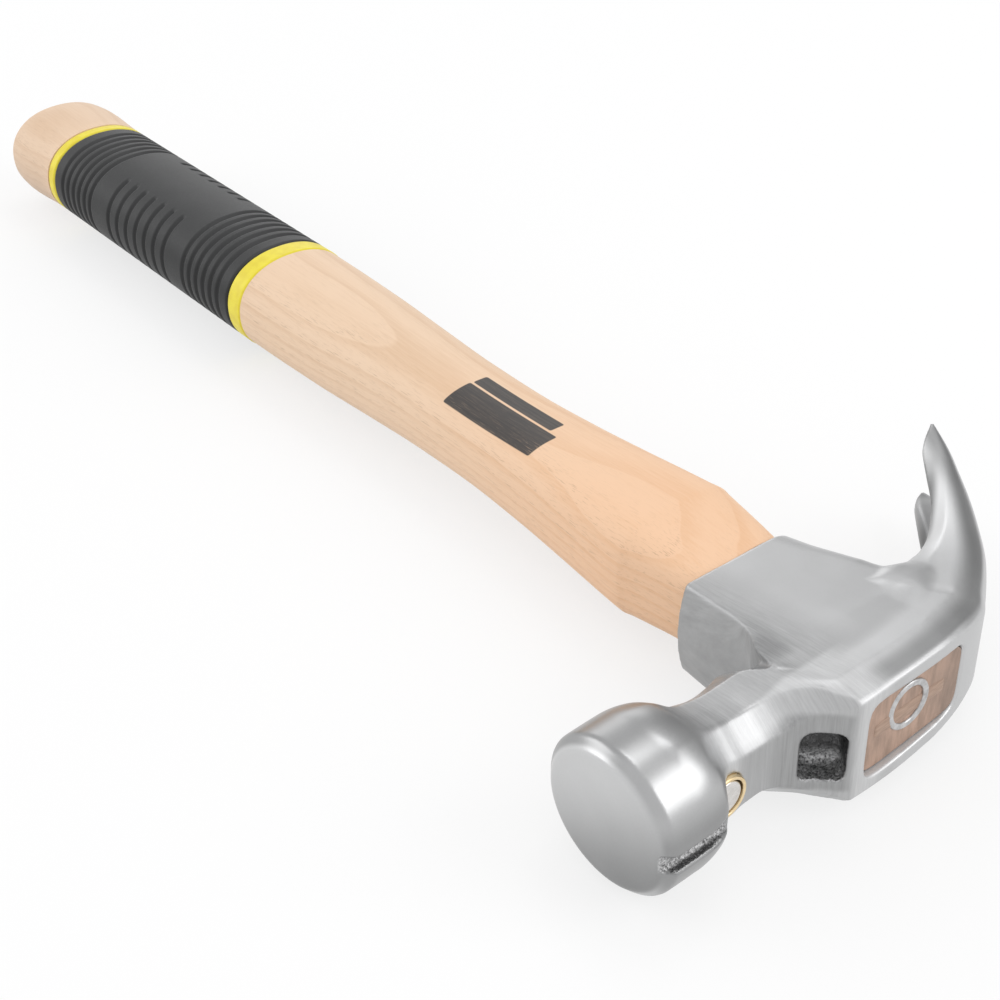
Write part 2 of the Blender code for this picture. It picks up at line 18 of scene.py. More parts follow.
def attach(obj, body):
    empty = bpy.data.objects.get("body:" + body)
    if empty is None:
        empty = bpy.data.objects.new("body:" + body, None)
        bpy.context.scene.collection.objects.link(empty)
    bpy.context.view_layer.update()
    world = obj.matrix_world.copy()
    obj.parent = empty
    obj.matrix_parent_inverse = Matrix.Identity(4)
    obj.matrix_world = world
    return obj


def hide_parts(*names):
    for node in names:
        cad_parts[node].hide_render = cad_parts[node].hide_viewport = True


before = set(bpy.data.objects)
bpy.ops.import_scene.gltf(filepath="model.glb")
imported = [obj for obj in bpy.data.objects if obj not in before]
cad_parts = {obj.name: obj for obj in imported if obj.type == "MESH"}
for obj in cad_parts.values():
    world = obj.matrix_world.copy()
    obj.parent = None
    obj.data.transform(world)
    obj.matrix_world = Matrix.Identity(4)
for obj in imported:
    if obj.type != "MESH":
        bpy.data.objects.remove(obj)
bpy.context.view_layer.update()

print("nodes:", ", ".join(sorted(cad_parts)))

# %% [markdown]
# The sizes below are in millimetres, as a maker writes them, and MM turns them to metres.
# The head has a frame of its own, because it hangs on the handle at a small angle. The
# function head_to_cad takes points of the head's frame to the CAD frame, and
# handle_to_cad those of the handle's.

# %% Frames of the head and the handle
MM = 0.001
HANG = math.radians(2.27)
HEAD_SHIFT_X = 1.75
FRAME_ORIGIN = np.array((-2.13, -166.163, 14.65))


def head_to_handle(x, y):
    """The head's x and y, turned by the hang into the handle's frame."""
    turned_x = x * math.cos(HANG) - y * math.sin(HANG) + HEAD_SHIFT_X
    return turned_x, x * math.sin(HANG) + y * math.cos(HANG)


def handle_to_cad(points):
    return (np.asarray(points, float) + FRAME_ORIGIN) * MM


def head_to_cad(points):
    x, y, z = np.asarray(points, float).T
    turned_x, turned_y = head_to_handle(x, y)
    return handle_to_cad(np.stack((turned_x, turned_y, z), axis=1))


print("eye centre in the CAD frame:", head_to_cad([(0, 0, 0)])[0].round(4))

# %% [markdown]
# ## Nodes as expressions
#
# A shader is a sum of small nodes. Wiring each by hand is long and hard to read, so one
# class wraps a socket and lets Python's operators add the Math nodes: noise * 0.2 + 0.4
# reads as what it does. The same class serves the Geometry Nodes tree of the grip, whose
# Math nodes have the same names.

# %% A socket that does arithmetic
class Sock:
    """One output socket of a node tree, with operators that add Math nodes to the tree."""

    def __init__(self, tree, socket):
        self.tree = tree
        self.socket = socket

    def math(self, operation, *values):
        return math_node(self.tree, operation, self, *values)

    def __add__(self, other):
        return self.math("ADD", other)

    __radd__ = __add__

    def __mul__(self, other):
        return self.math("MULTIPLY", other)

    __rmul__ = __mul__

    def __sub__(self, other):
        return self.math("SUBTRACT", other)

    def __rsub__(self, other):
        return math_node(self.tree, "SUBTRACT", other, self)

    def __truediv__(self, other):
        return self.math("DIVIDE", other)

    def __rtruediv__(self, other):
        return math_node(self.tree, "DIVIDE", other, self)

    def __pow__(self, other):
        return self.math("POWER", other)

    def __rpow__(self, other):
        return math_node(self.tree, "POWER", other, self)

    def between(self, low, high):
        """0 below low, 1 above high, and a smooth step between them."""
        return make_node(
            self.tree, "ShaderNodeMapRange", {"interpolation_type": "SMOOTHSTEP"},
            Value=self, From_Min=low, From_Max=high)

    def under(self, low, high):
        """1 below low, 0 above high, and a smooth step between them."""
        return 1 - self.between(low, high)

    def zone(self, rise, fall):
        """0 before the rise, 1 from there to the fall, and 0 after it."""
        return self.between(*rise) * self.under(*fall)


print("Sock adds Math nodes for + - * / and powers")

# %% [markdown]
# Any other node comes from one function. It sets what kind of node it is first, since that
# can change which sockets the node has, and then links or sets the sockets.

# %% Any node
def plug(tree, slot, value):
    """Link a socket into a slot, or set the slot to a plain value."""
    if isinstance(value, Sock):
        tree.links.new(value.socket, slot)
    else:
        slot.default_value = value


def make_node(tree, kind, settings=None, out=0, **inputs):
    """Any node: its settings first, then inputs by name with _ for a space, or as n0, n1."""
    made = tree.nodes.new(kind)
    for name, value in (settings or {}).items():
        setattr(made, name, value)
    for name, value in inputs.items():
        slot = int(name[1:]) if name[1:].isdigit() else name.replace("_", " ")
        plug(tree, made.inputs[slot], value)
    return Sock(tree, made.outputs[out])


def math_node(tree, operation, *values):
    slots = {f"n{number}": value for number, value in enumerate(values)}
    return make_node(tree, "ShaderNodeMath", {"operation": operation}, **slots)


print("make_node adds any other node")

# %% [markdown]
# Colours and vectors need Mix and Vector Math nodes, because a Math node would turn a
# colour grey. The helpers here are what every finish of the hammer is built from: a place
# in millimetres, noise that may be stretched one way, colours that mix, and bumps.

# %% Helpers for materials
def new_finish(name):
    """A material with its node tree and its Principled shader."""
    made = bpy.data.materials.new(name)
    made.use_nodes = True
    return made, made.node_tree, made.node_tree.nodes["Principled BSDF"]


def in_millimetres(tree, location=(0, 0, 0), turn=0.0):
    """Object coordinates in millimetres, then turned about Z, then moved."""
    place = make_node(tree, "ShaderNodeTexCoord", None, "Object")
    return make_node(
        tree, "ShaderNodeMapping", None, Vector=place,
        Location=location, Rotation=(0, 0, turn), Scale=(1 / MM, 1 / MM, 1 / MM))


def noise(tree, vector, scale, detail=2.0, roughness=0.5, distortion=0.0):
    return make_node(
        tree, "ShaderNodeTexNoise", None, Vector=vector,
        Scale=scale, Detail=detail, Roughness=roughness, Distortion=distortion)


def vector_math(tree, operation, first, second, out="Vector"):
    settings = {"operation": operation}
    return make_node(tree, "ShaderNodeVectorMath", settings, out, n0=first, n1=second)


def stretched(tree, vector, scale, detail, roughness=0.5, distortion=0.0):
    """Noise with its own scale along each axis: a small scale draws it out."""
    drawn = vector_math(tree, "MULTIPLY", vector, scale)
    return noise(tree, drawn, 1.0, detail, roughness, distortion)


def split(tree, vector):
    parts = make_node(tree, "ShaderNodeSeparateXYZ", None, n0=vector).socket.node
    return [Sock(tree, out) for out in parts.outputs]


def mix_colours(tree, share, first, second):
    """A Mix node set to colours has them in its inputs 6 and 7 and its output 2."""
    settings = {"data_type": "RGBA"}
    return make_node(tree, "ShaderNodeMix", settings, 2, n0=share, n6=first, n7=second)


def grey(value):
    """A grey with the faint blue of steel."""
    return (value, value, value * 1.005, 1.0)


def attribute(tree, name):
    return make_node(tree, "ShaderNodeAttribute", {"attribute_name": name}, "Fac")


def bump(tree, height, strength, distance, **below):
    """A bump of this height, on top of another one where Normal is given."""
    return make_node(
        tree, "ShaderNodeBump", None, Strength=strength, Distance=distance, Height=height, **below)


print("helpers ready")

# %% [markdown]
# ## Camera, floor and light
#
# The camera stands where the photograph was taken from: its place and its three axes were
# worked out from the hammer's known lines, and its lens from how fast they converge.

# %% Camera
CAMERA_PLACE = (-0.180397, -0.290648, 0.204473)
CAMERA_AXES = ((0.7896, -0.6129, -0.0311), (0.3698, 0.4347, 0.8212), (-0.4897, -0.6599, 0.5698))
SENSOR_MM = 36.0
FOCAL_SHARE = 1.63879
NEAR_CLIP = 0.01


def put_in_scene(name, data):
    """An object that holds this mesh, lamp or camera, in the scene."""
    made = bpy.data.objects.new(name, data)
    bpy.context.scene.collection.objects.link(made)
    return made


camera = put_in_scene("camera", bpy.data.cameras.new("camera"))
camera.data.sensor_width = SENSOR_MM
camera.data.lens = SENSOR_MM * FOCAL_SHARE
camera.data.clip_start = NEAR_CLIP
camera_turn = Matrix(CAMERA_AXES).transposed().to_4x4()
camera.matrix_world = Matrix.Translation(CAMERA_PLACE) @ camera_turn
bpy.context.scene.camera = camera
print(f"lens {camera.data.lens:.1f} mm")

# %% [markdown]
# The floor is plain and white, and it stays white in the metal's reflections too. So its
# glow shows to the camera and to mirrored rays, but not to the light that falls on the
# hammer. The glow is mixed with the floor's own shading, which keeps the shadow.

# %% Floor
FLOOR_HALF = 3.0
FLOOR_Z = -0.0005
FLOOR_COLOUR = (0.86, 0.86, 0.86, 1.0)
FLOOR_ROUGHNESS = 0.9
GLOW_SHARE = 0.72
WHITE = (1.0, 1.0, 1.0, 1.0)
SEEN_RAYS = ("Is Camera Ray", "Is Glossy Ray", "Is Transmission Ray")


def floor_finish():
    made, tree, shader = new_finish("floor_white")
    plug(tree, shader.inputs["Base Color"], FLOOR_COLOUR)
    plug(tree, shader.inputs["Roughness"], FLOOR_ROUGHNESS)
    plug(tree, shader.inputs["Specular IOR Level"], 0.0)
    glow = make_node(tree, "ShaderNodeEmission", None, Color=WHITE, Strength=1.0)
    camera_ray, glossy_ray, clear_ray = (
        make_node(tree, "ShaderNodeLightPath", None, name) for name in SEEN_RAYS)
    seen = (camera_ray + glossy_ray + clear_ray).math("MINIMUM", 1.0)
    shaded = Sock(tree, shader.outputs[0])
    blend = make_node(tree, "ShaderNodeMixShader", None, n0=seen * GLOW_SHARE, n1=shaded, n2=glow)
    plug(tree, tree.nodes["Material Output"].inputs["Surface"], blend)
    return made


floor_grid = bmesh.new()
bmesh.ops.create_grid(floor_grid, x_segments=1, y_segments=1, size=FLOOR_HALF)
floor = put_in_scene("floor", bpy.data.meshes.new("floor"))
floor_grid.to_mesh(floor.data)
floor_grid.free()
floor.location.z = FLOOR_Z
floor.data.materials.append(floor_finish())
print("floor:", 2 * FLOOR_HALF, "m wide")

# %% [markdown]
# Bare steel is a mirror of the room round it, and in an evenly white room it would look
# flat. So the sky is dimmer towards the claws, which gives the curved faces their darker
# side. The camera itself sees the sky undimmed. Four soft lamps add the bright streaks.

# %% Sky and lamps
SKY = (0.93, 0.93, 0.935, 1.0)
DIM = (0.44, 0.44, 0.44, 1.0)
DIM_WAY = (0.97, 0.10, 0.22)
DIM_EDGE = (0.68, 0.97)
LAMP_TARGET = (0.0, -0.08, 0.01)
# Name, place, size and power
LAMPS = (
    ("key", (0.60, -0.95, 0.70), (0.8, 0.75), 4.0),
    ("top", (0.35, 0.05, 1.05), (0.45, 0.35), 1.0),
    ("left", (-0.80, 0.80, 0.55), (0.9, 0.6), 2.8),
    ("back", (0.59, 0.90, 0.37), (0.5, 0.4), 0.6),
)


def add_sky():
    world = bpy.data.worlds.new("studio")
    world.use_nodes = True
    tree = world.node_tree
    way = make_node(tree, "ShaderNodeTexCoord", None, "Generated")
    facing = vector_math(tree, "DOT_PRODUCT", way, DIM_WAY, "Value")
    looking = make_node(tree, "ShaderNodeLightPath", None, "Is Camera Ray")
    dimmed = facing.between(*DIM_EDGE) * (1 - looking)
    plug(tree, tree.nodes["Background"].inputs["Color"], mix_colours(tree, dimmed, SKY, DIM))
    bpy.context.scene.world = world


def add_lamp(name, place, size, power):
    lamp = put_in_scene(name, bpy.data.lights.new(name, "AREA"))
    lamp.data.shape = "RECTANGLE"
    lamp.data.size, lamp.data.size_y = size
    lamp.data.energy = power
    lamp.location = place
    lamp.rotation_mode = "QUATERNION"
    lamp.rotation_quaternion = (Vector(LAMP_TARGET) - Vector(place)).to_track_quat("-Z", "Y")


add_sky()
for lamp_row in LAMPS:
    add_lamp(*lamp_row)
bpy.context.scene.view_settings.view_transform = "Standard"
print("lamps:", [row[0] for row in LAMPS])

# %% [markdown]
# ## The head's form
#
# A hammer head is forged, so its faces flow into one another with soft fillets, and only
# the cuts have crisp edges. Joining lofted solids would leave hard creases, and bevels on
# such a join break up. Here the head is a distance field instead: for any point a number
# says how far outside the steel it is. Fields join with a smooth minimum, which leaves a
# fillet, and cut with a smooth maximum, which leaves a rounded edge.
#
# The body follows a line from the neck over the eye to the claw tips. Each row below is a
# section across that line: its place and lean, then five corners down one side, as depth
# below the outer face and half width, and last the corner radius.

# %% Sections of the head
HEAD_SECTIONS = (
    (-46.0, 8.0, 0, 0, 6.2, 4.4, 10.8, 8.5, 11.0, 12.2, 10.6, 17.4, 6.0, 2.2),
    (-40.5, 7.95, 0, 0, 6.2, 4.4, 10.8, 8.5, 10.8, 12.3, 10.4, 17.2, 6.0, 1.8),
    (-38.0, 7.9, 0, 0, 6.0, 4.4, 10.5, 8.6, 10.4, 12.4, 10.0, 17.0, 5.8, 1.6),
    (-35.0, 8.0, 0, 0, 5.4, 4.5, 9.9, 8.4, 9.8, 12.1, 9.5, 16.0, 5.4, 1.1),
    (-31.5, 8.0, 0, 0, 5.3, 4.45, 9.7, 8.4, 9.6, 12.0, 9.3, 15.7, 5.2, 1.0),
    (-28.0, 7.4, 0, 0, 5.9, 4.4, 10.1, 8.6, 10.0, 12.3, 9.7, 16.4, 5.6, 1.0),
    (-25.0, 6.35, 0, 0, 7.2, 4.1, 11.1, 8.4, 10.9, 12.6, 10.5, 17.6, 6.2, 1.0),
    (-22.0, 4.9, 0, 0, 8.7, 3.5, 11.8, 7.0, 11.8, 11.0, 11.2, 17.0, 7.0, 1.0),
    (-20.0, 2.9, 0, 0, 9.4, 3.0, 12.0, 6.5, 12.1, 11.0, 11.3, 16.8, 7.8, 1.0),
    (-18.5, 1.1, 0, 0, 9.9, 1.9, 11.5, 6.4, 12.3, 11.2, 11.3, 17.4, 8.4, 0.6),
    (-17.0, 0.0, 0, 0, 10.6, 0.9, 11.3, 6.0, 12.4, 11.8, 11.3, 18.8, 8.5, 0.6),
    (-8.0, -0.17, 0, 0, 10.9, 0.9, 11.5, 5.8, 12.3, 11.4, 11.3, 25.0, 8.5, 0.6),
    (4.0, 0.2, 1, 0, 10.5, 0.9, 11.2, 5.6, 12.1, 11.4, 11.3, 23.0, 8.5, 0.6),
    (11.0, 1.0, 9, 0, 9.9, 1.1, 10.8, 5.8, 11.9, 11.6, 11.1, 20.0, 8.0, 0.8),
    (19.2, 2.9, 26, 0, 8.8, 1.4, 9.9, 5.6, 11.6, 11.2, 11.1, 18.4, 10.6, 1.3),
    (24.2, 5.9, 33, 0, 8.4, 1.4, 9.6, 5.4, 11.3, 11.0, 10.9, 16.4, 10.2, 1.8),
    (29.1, 9.3, 38, 0, 8.2, 1.3, 9.5, 5.0, 11.0, 10.4, 10.4, 14.6, 9.4, 1.6),
    (33.9, 13.0, 42, 0, 8.0, 1.2, 9.3, 4.6, 10.7, 8.9, 9.9, 12.2, 8.2, 1.5),
    (40.2, 19.1, 46, 0, 7.8, 1.1, 9.1, 3.8, 10.3, 6.6, 9.5, 9.4, 7.0, 1.3),
    (46.6, 25.9, 48.5, 0, 7.6, 1.0, 8.9, 3.0, 9.9, 5.0, 9.2, 7.8, 7.2, 1.0),
    (52.8, 33.2, 50.5, 0, 7.4, 0.8, 8.7, 2.2, 9.6, 3.4, 9.0, 6.8, 7.3, 0.8),
    (57.5, 39.0, 52.5, 0, 7.4, 0.6, 8.5, 1.5, 9.3, 2.7, 8.8, 6.0, 7.3, 0.7),
    (60.9, 44.0, 54.5, 0, 7.4, 0.4, 8.3, 0.9, 9.1, 2.0, 8.7, 4.0, 7.4, 0.5),
    (62.6, 47.0, 56, 0, 7.5, 0.15, 8.2, 0.5, 9.0, 1.0, 8.7, 1.8, 7.6, 0.3),
)
SECTION_STEPS = 8


def smooth_table(rows, places, steps):
    """The rows with more put between them, on curves that never overshoot a row."""
    rows = np.array(rows, float)
    width = np.diff(places)[:, None]
    rise = np.diff(rows, axis=0) / width
    before, after = rise[:-1], rise[1:]
    same_way = before * after > 0
    total = np.where(same_way, before + after, 1.0)
    inner = np.where(same_way, 2 * before * after / total, 0.0)
    slope = np.concatenate((rise[:1], inner, rise[-1:]))
    t = np.linspace(0, 1, steps, endpoint=False)[None, :, None]
    finer = (
        (1 + 2 * t) * (1 - t) ** 2 * rows[:-1, None]
        + t * t * (3 - 2 * t) * rows[1:, None]
        + t * (1 - t) ** 2 * (width * slope[:-1])[:, None]
        + t * t * (t - 1) * (width * slope[1:])[:, None]
    )
    return np.concatenate((finer.reshape(-1, rows.shape[1]), rows[-1:]))


def run_lengths(rows):
    """How far along the line each row lies."""
    steps = np.hypot(np.diff(rows[:, 0]), np.diff(rows[:, 1]))
    return np.concatenate(([0.0], np.cumsum(steps)))


coarse = np.array(HEAD_SECTIONS, float)
sections = smooth_table(coarse, run_lengths(coarse), SECTION_STEPS)
section_places = run_lengths(sections)
section_lean = np.radians(sections[:, 2])
print(f"{len(sections)} sections over {section_places[-1]:.1f} mm")

# %% [markdown]
# To read the body's field at a point, the code finds the section plane that passes
# through the point, and then the point's depth in that section. In the section the field
# is the largest of six half-plane distances, and each corner between two of them is
# rounded to its radius.

# %% Smooth joins, and the body's field
def smooth_max(a, b, reach):
    spare = np.maximum(reach - np.abs(a - b), 0.0)
    return np.maximum(a, b) + spare * spare / (4 * reach)


def smooth_min(a, b, reach):
    return -smooth_max(-a, -b, reach)


def beyond(x, y, point, normal):
    """How far x and y lie past the line through a point that is square to this normal."""
    return (x - point[0]) * normal[0] + (y - point[1]) * normal[1]


POINTS_AT_ONCE = 40000


def along_line(x, y):
    """For flat arrays of points: place along the head's line, depth, and how far past its ends."""
    place = np.empty_like(x)
    for start in range(0, len(x), POINTS_AT_ONCE):
        part = slice(start, start + POINTS_AT_ONCE)
        ahead = (
            (x[part, None] - sections[:, 0]) * np.cos(section_lean)
            + (y[part, None] - sections[:, 1]) * np.sin(section_lean)
        )
        passed = np.argmax(ahead <= 0, axis=1)
        passed[ahead[:, -1] > 0] = len(sections) - 1
        first = np.clip(passed - 1, 0, len(sections) - 2)
        row = np.arange(len(first))
        gap = ahead[row, first] - ahead[row, first + 1]
        share = np.clip(ahead[row, first] / np.where(gap == 0, 1, gap), 0, 1)
        place[part] = section_places[first] + share * np.diff(section_places)[first]
    lean = np.interp(place, section_places, section_lean)
    from_x = x - np.interp(place, section_places, sections[:, 0])
    from_y = y - np.interp(place, section_places, sections[:, 1])
    depth = from_y * np.cos(lean) - from_x * np.sin(lean)
    tip_way = (math.cos(section_lean[-1]), math.sin(section_lean[-1]))
    past_tip = beyond(x, y, sections[-1], tip_way)
    return place, depth, np.maximum(past_tip, sections[0, 0] - x)


SMALL_REACH = 1e-3
TIP_ROUND = 0.5
# How much softer the claws' outer corners are than the others: x, and the factor
CLAW_SOFTNESS = ((12.0, 26.0, 54.0, 61.0), (1.0, 3.4, 3.4, 1.5))
SOFT_CORNERS = 3


def body_field(place, depth, past_end, z):
    """Distance outside the neck, eye block and claws, before anything is cut."""
    columns = [np.interp(place, section_places, values) for values in sections.T]
    line_x, _, _, *corners, radius = columns
    corners = list(zip(corners[0::2], corners[1::2]))
    softer = radius * np.interp(line_x, *CLAW_SOFTNESS)
    half = np.abs(z)
    field = -depth
    normal = (-1.0, 0.0)
    for number, ((d0, w0), (d1, w1)) in enumerate(zip(corners, corners[1:])):
        length = np.hypot(d1 - d0, w1 - w0)
        side = ((w0 - w1) / length, (d1 - d0) / length)
        turn = 1 - (normal[0] * side[0] + normal[1] * side[1])
        reach = np.maximum(turn * (softer if number < SOFT_CORNERS else radius), SMALL_REACH)
        field = smooth_max(field, beyond(depth, half, (d0, w0), side), reach)
        normal = side
    reach = np.maximum(radius * (1 - normal[0]), SMALL_REACH)
    field = smooth_max(field, depth - corners[-1][0], reach)
    return smooth_max(field, past_end, TIP_ROUND)


print("body field at the eye's centre line:",
      body_field(*along_line(np.zeros(1), np.full(1, 8.0)), np.zeros(1)).round(2))

# %% [markdown]
# The bell is turned, so its field needs only the distance from its axis: a slightly
# crowned face, a ground chamfer round it, a barrel side and a rounded shoulder.

# %% Bell
BELL_AXIS_Y = 16.8
FACE_X = -59.0
FACE_CROWN = 128.0
BELL_RADIUS = 14.6
BELL_BARREL_X = -50.5
BELL_BARREL = 0.0022
CHAMFER_POINT = (-58.2, 12.7)
CHAMFER_NORMAL = (-0.735, 0.678)
SHOULDER_POINT = (-45.6, 14.5)
SHOULDER_NORMAL = (0.45, 0.893)
SHOULDER_END_X = -42.4
FACE_ROUND = 0.3
RIM_ROUND = 0.5
SHOULDER_ROUND = 1.5
SHOULDER_END_ROUND = 2.4


def bell_field(x, y, z):
    out = np.hypot(y - BELL_AXIS_Y, z)
    side = out - BELL_RADIUS + BELL_BARREL * (x - BELL_BARREL_X) ** 2
    face = FACE_X - x + out * out / (2 * FACE_CROWN)
    chamfer = beyond(x, out, CHAMFER_POINT, CHAMFER_NORMAL)
    shoulder = beyond(x, out, SHOULDER_POINT, SHOULDER_NORMAL)
    field = smooth_max(side, chamfer, RIM_ROUND)
    field = smooth_max(field, face, FACE_ROUND)
    field = smooth_max(field, shoulder, SHOULDER_ROUND)
    return smooth_max(field, x - SHOULDER_END_X, SHOULDER_END_ROUND)


print("bell", 2 * BELL_RADIUS, "mm across")

# %% [markdown]
# The skirt under the eye holds the handle over a longer stretch. It has flat cheeks that
# taper to the rim, a bulged side towards the bell and rounded corners towards the claws.
# Its outline changes with the height, so a table gives it, and the cheeks are a slope.

# %% Skirt
CHEEK_Y = 14.0
CHEEK_HALF = 11.6
CHEEK_TAPER = 0.0842
# y, the poll side's edge, its bulge between the edges, and the claw side
SKIRT_SECTIONS = np.array((
    (6.0, -12.0, 0.0, 8.0), (10.0, -16.0, -1.0, 12.0), (13.0, -19.0, -2.0, 17.0),
    (16.0, -21.0, -3.0, 19.5), (20.9, -19.8, -2.2, 18.2), (22.7, -18.5, -1.2, 17.1),
    (24.6, -17.2, -0.4, 16.5), (27.3, -16.2, 0.5, 16.0), (31.0, -15.5, 1.2, 15.5),
    (37.1, -15.0, 1.6, 14.8), (42.2, -14.6, 1.8, 14.7),
))
SKIRT_TOP_Y = 10.0
# Towards its top the skirt sinks into the eye block: y, and by how much
SKIRT_FADE = ((8.0, 10.0, 13.0, 16.0), (2.5, 1.5, 0.5, 0.0))
# The same towards the claws: x, and by how much; then y, and the share of it that is left
CLAW_FADE = ((-2.0, 22.0), (0.0, 0.8))
CLAW_FADE_END = ((18.0, 26.0), (1.0, 0.0))
SKIRT_RIM_Y = 42.2
# The corner towards the claws: y, and the reach of its rounding
SKIRT_CLAW_CORNER = ((26.0, 42.0), (5.0, 8.0))
# How much thicker the rim is in the middle, and how it thins towards the claws for each mm
RIM_SWELL = 0.2
RIM_TILT = 0.04
RIM_GROWTH = ((16.0, SKIRT_RIM_Y), (0.0, 1.0))
SKIRT_EDGE_ROUND = 0.9
SKIRT_RIM_ROUND = 0.4
skirt_fine = smooth_table(SKIRT_SECTIONS, SKIRT_SECTIONS[:, 0], SECTION_STEPS)


def skirt_field(x, y, z):
    poll, bulge, claw = (
        np.interp(y, skirt_fine[:, 0], skirt_fine[:, i]) for i in (1, 2, 3))
    half = CHEEK_HALF - CHEEK_TAPER * (y - CHEEK_Y) - np.interp(y, *SKIRT_FADE)
    half = half - np.interp(x, *CLAW_FADE) * np.interp(y, *CLAW_FADE_END)
    half = half + np.interp(y, *RIM_GROWTH) * (RIM_SWELL - RIM_TILT * x)
    share = np.clip(z / half, -1, 1)
    cheek = np.abs(z) - half
    poll_side = poll - bulge * (1 - share * share) - x
    field = smooth_max(cheek, poll_side, SKIRT_EDGE_ROUND)
    field = smooth_max(field, x - claw, np.interp(y, *SKIRT_CLAW_CORNER))
    field = smooth_max(field, SKIRT_TOP_Y - y, SKIRT_EDGE_ROUND)
    return smooth_max(field, y - SKIRT_RIM_Y, SKIRT_RIM_ROUND)


print("skirt rim at y", SKIRT_RIM_Y, "mm")

# %% [markdown]
# Five cuts follow: the tapered eye for the handle, the nail notch between the claws, the
# pocket in the slope for a nail's head, the groove along the bell for its shank, and the
# bore for the magnet. The eye narrows downwards, so that the wedges can lock the handle in
# it, and the notch widens to the tips with bevelled walls that grip a nail under its head.

# %% Eye and notch
# y, the poll end, the claw end and the half width, at the top and at the bottom
EYE_SECTIONS = ((-4.0, -12.6, 13.9, 8.2), (44.0, -12.4, 10.9, 7.3))
EYE_POWER = 7.0
EYE_NARROWING = 0.07


def eye_section(y):
    """Centre, half length and half width of the tapered eye at this height."""
    (top, *first), (bottom, *last) = EYE_SECTIONS
    share = (y - top) / (bottom - top)
    poll, claw, half = (a + share * (b - a) for a, b in zip(first, last))
    return (poll + claw) / 2, (claw - poll) / 2, half


def eye_field(x, y, z):
    x, y = head_to_handle(x, y)
    centre, width, half = eye_section(y)
    half = half * (1 - EYE_NARROWING * (x - centre) / width)
    across = np.abs((x - centre) / width) ** EYE_POWER + np.abs(z / half) ** EYE_POWER
    return (across ** (1 / EYE_POWER) - 1) * half


# Place on the head's line, then half width of the notch and depth of its upright walls
NOTCH_SECTIONS = np.array((
    (27.5, 8.2, -0.7, 17.6), (31.0, 10.7, 0.3, 15.0), (33.9, 13.0, 1.3, 11.2),
    (40.2, 19.1, 3.0, 8.3), (46.6, 25.9, 4.2, 6.4), (52.8, 33.2, 4.8, 5.6),
    (57.5, 39.0, 5.7, 5.0), (60.9, 44.0, 7.3, 3.2), (62.6, 47.0, 8.4, 1.2),
    (64.0, 49.1, 9.6, 0.4),
))
NOTCH_BEVEL = math.atan2(10.0, 4.8)
NOTCH_FROM_X = 21.0
NOTCH_ROUND = 0.8
notch_fine = smooth_table(NOTCH_SECTIONS, run_lengths(NOTCH_SECTIONS), SECTION_STEPS)
notch_places = np.interp(notch_fine[:, 0], sections[:, 0], section_places)
notch_places[notch_fine[:, 0] > sections[-1, 0]] = section_places[-1]


def notch_field(x, place, depth, z):
    half = np.interp(place, notch_places, notch_fine[:, 2])
    wall = np.interp(place, notch_places, notch_fine[:, 3])
    before = np.maximum(notch_places[0] - place, 0)
    slot = np.abs(z) - half + before
    bevel = slot * math.cos(NOTCH_BEVEL) - (depth - wall - before) * math.sin(NOTCH_BEVEL)
    return np.maximum(smooth_min(slot, bevel, NOTCH_ROUND), NOTCH_FROM_X - x)


print("eye at the top:", [round(size, 2) for size in eye_section(0.0)], "mm")

# %% [markdown]
# The pocket is a box with rounded corners, square to the slope. The groove is open to the
# face and to the side, and the bore is a plain cylinder. Pocket and groove are left as
# they came from the die, so a sum of waves in seeded directions roughens their walls: it
# can be worked out at any point, as a field has to be.

# %% Pocket, groove and bore
POCKET_CENTRE = (-20.1, 4.8, -1.2)
POCKET_SLOPE = math.radians(42.0)
POCKET_HALF = (3.95, 5.3)
POCKET_DEPTH = 3.9
POCKET_CORNER = 1.9
POCKET_FLOOR_ROUND = 1.4


def pocket_field(x, y, z):
    dx, dy = x - POCKET_CENTRE[0], y - POCKET_CENTRE[1]
    along = np.abs(dx * math.cos(POCKET_SLOPE) - dy * math.sin(POCKET_SLOPE))
    inward = dx * math.sin(POCKET_SLOPE) + dy * math.cos(POCKET_SLOPE)
    a = along - POCKET_HALF[0] + POCKET_CORNER
    b = np.abs(z - POCKET_CENTRE[2]) - POCKET_HALF[1] + POCKET_CORNER
    walls = np.hypot(np.maximum(a, 0), np.maximum(b, 0)) + np.minimum(np.maximum(a, b), 0)
    return smooth_max(walls - POCKET_CORNER, inward - POCKET_DEPTH, POCKET_FLOOR_ROUND)


GROOVE_Z = -0.3
GROOVE_HALF = 1.8
GROOVE_BOTTOM_Y = 4.6
GROOVE_END_X = -43.2
GROOVE_ROUND = 0.6


def groove_field(x, y, z):
    walls = smooth_max(np.abs(z - GROOVE_Z) - GROOVE_HALF, y - GROOVE_BOTTOM_Y, GROOVE_ROUND)
    return smooth_max(walls, x - GROOVE_END_X, GROOVE_ROUND)


MAGNET_X = -40.1
MAGNET_TOP_Y = 7.2
MAGNET_DEPTH = 3.2
MAGNET_RADIUS = 3.3
MAGNET_RING_WALL = 0.7
GAP = 0.3
BORE_RADIUS = MAGNET_RADIUS + MAGNET_RING_WALL + 1.2 * GAP
BORE_ABOVE = 1.0


def bore_field(x, y, z):
    wall = np.hypot(x - MAGNET_X, z - GROOVE_Z) - BORE_RADIUS
    ends = np.maximum(y - MAGNET_TOP_Y - MAGNET_DEPTH - GAP, MAGNET_TOP_Y - BORE_ABOVE - y)
    return np.maximum(wall, ends)


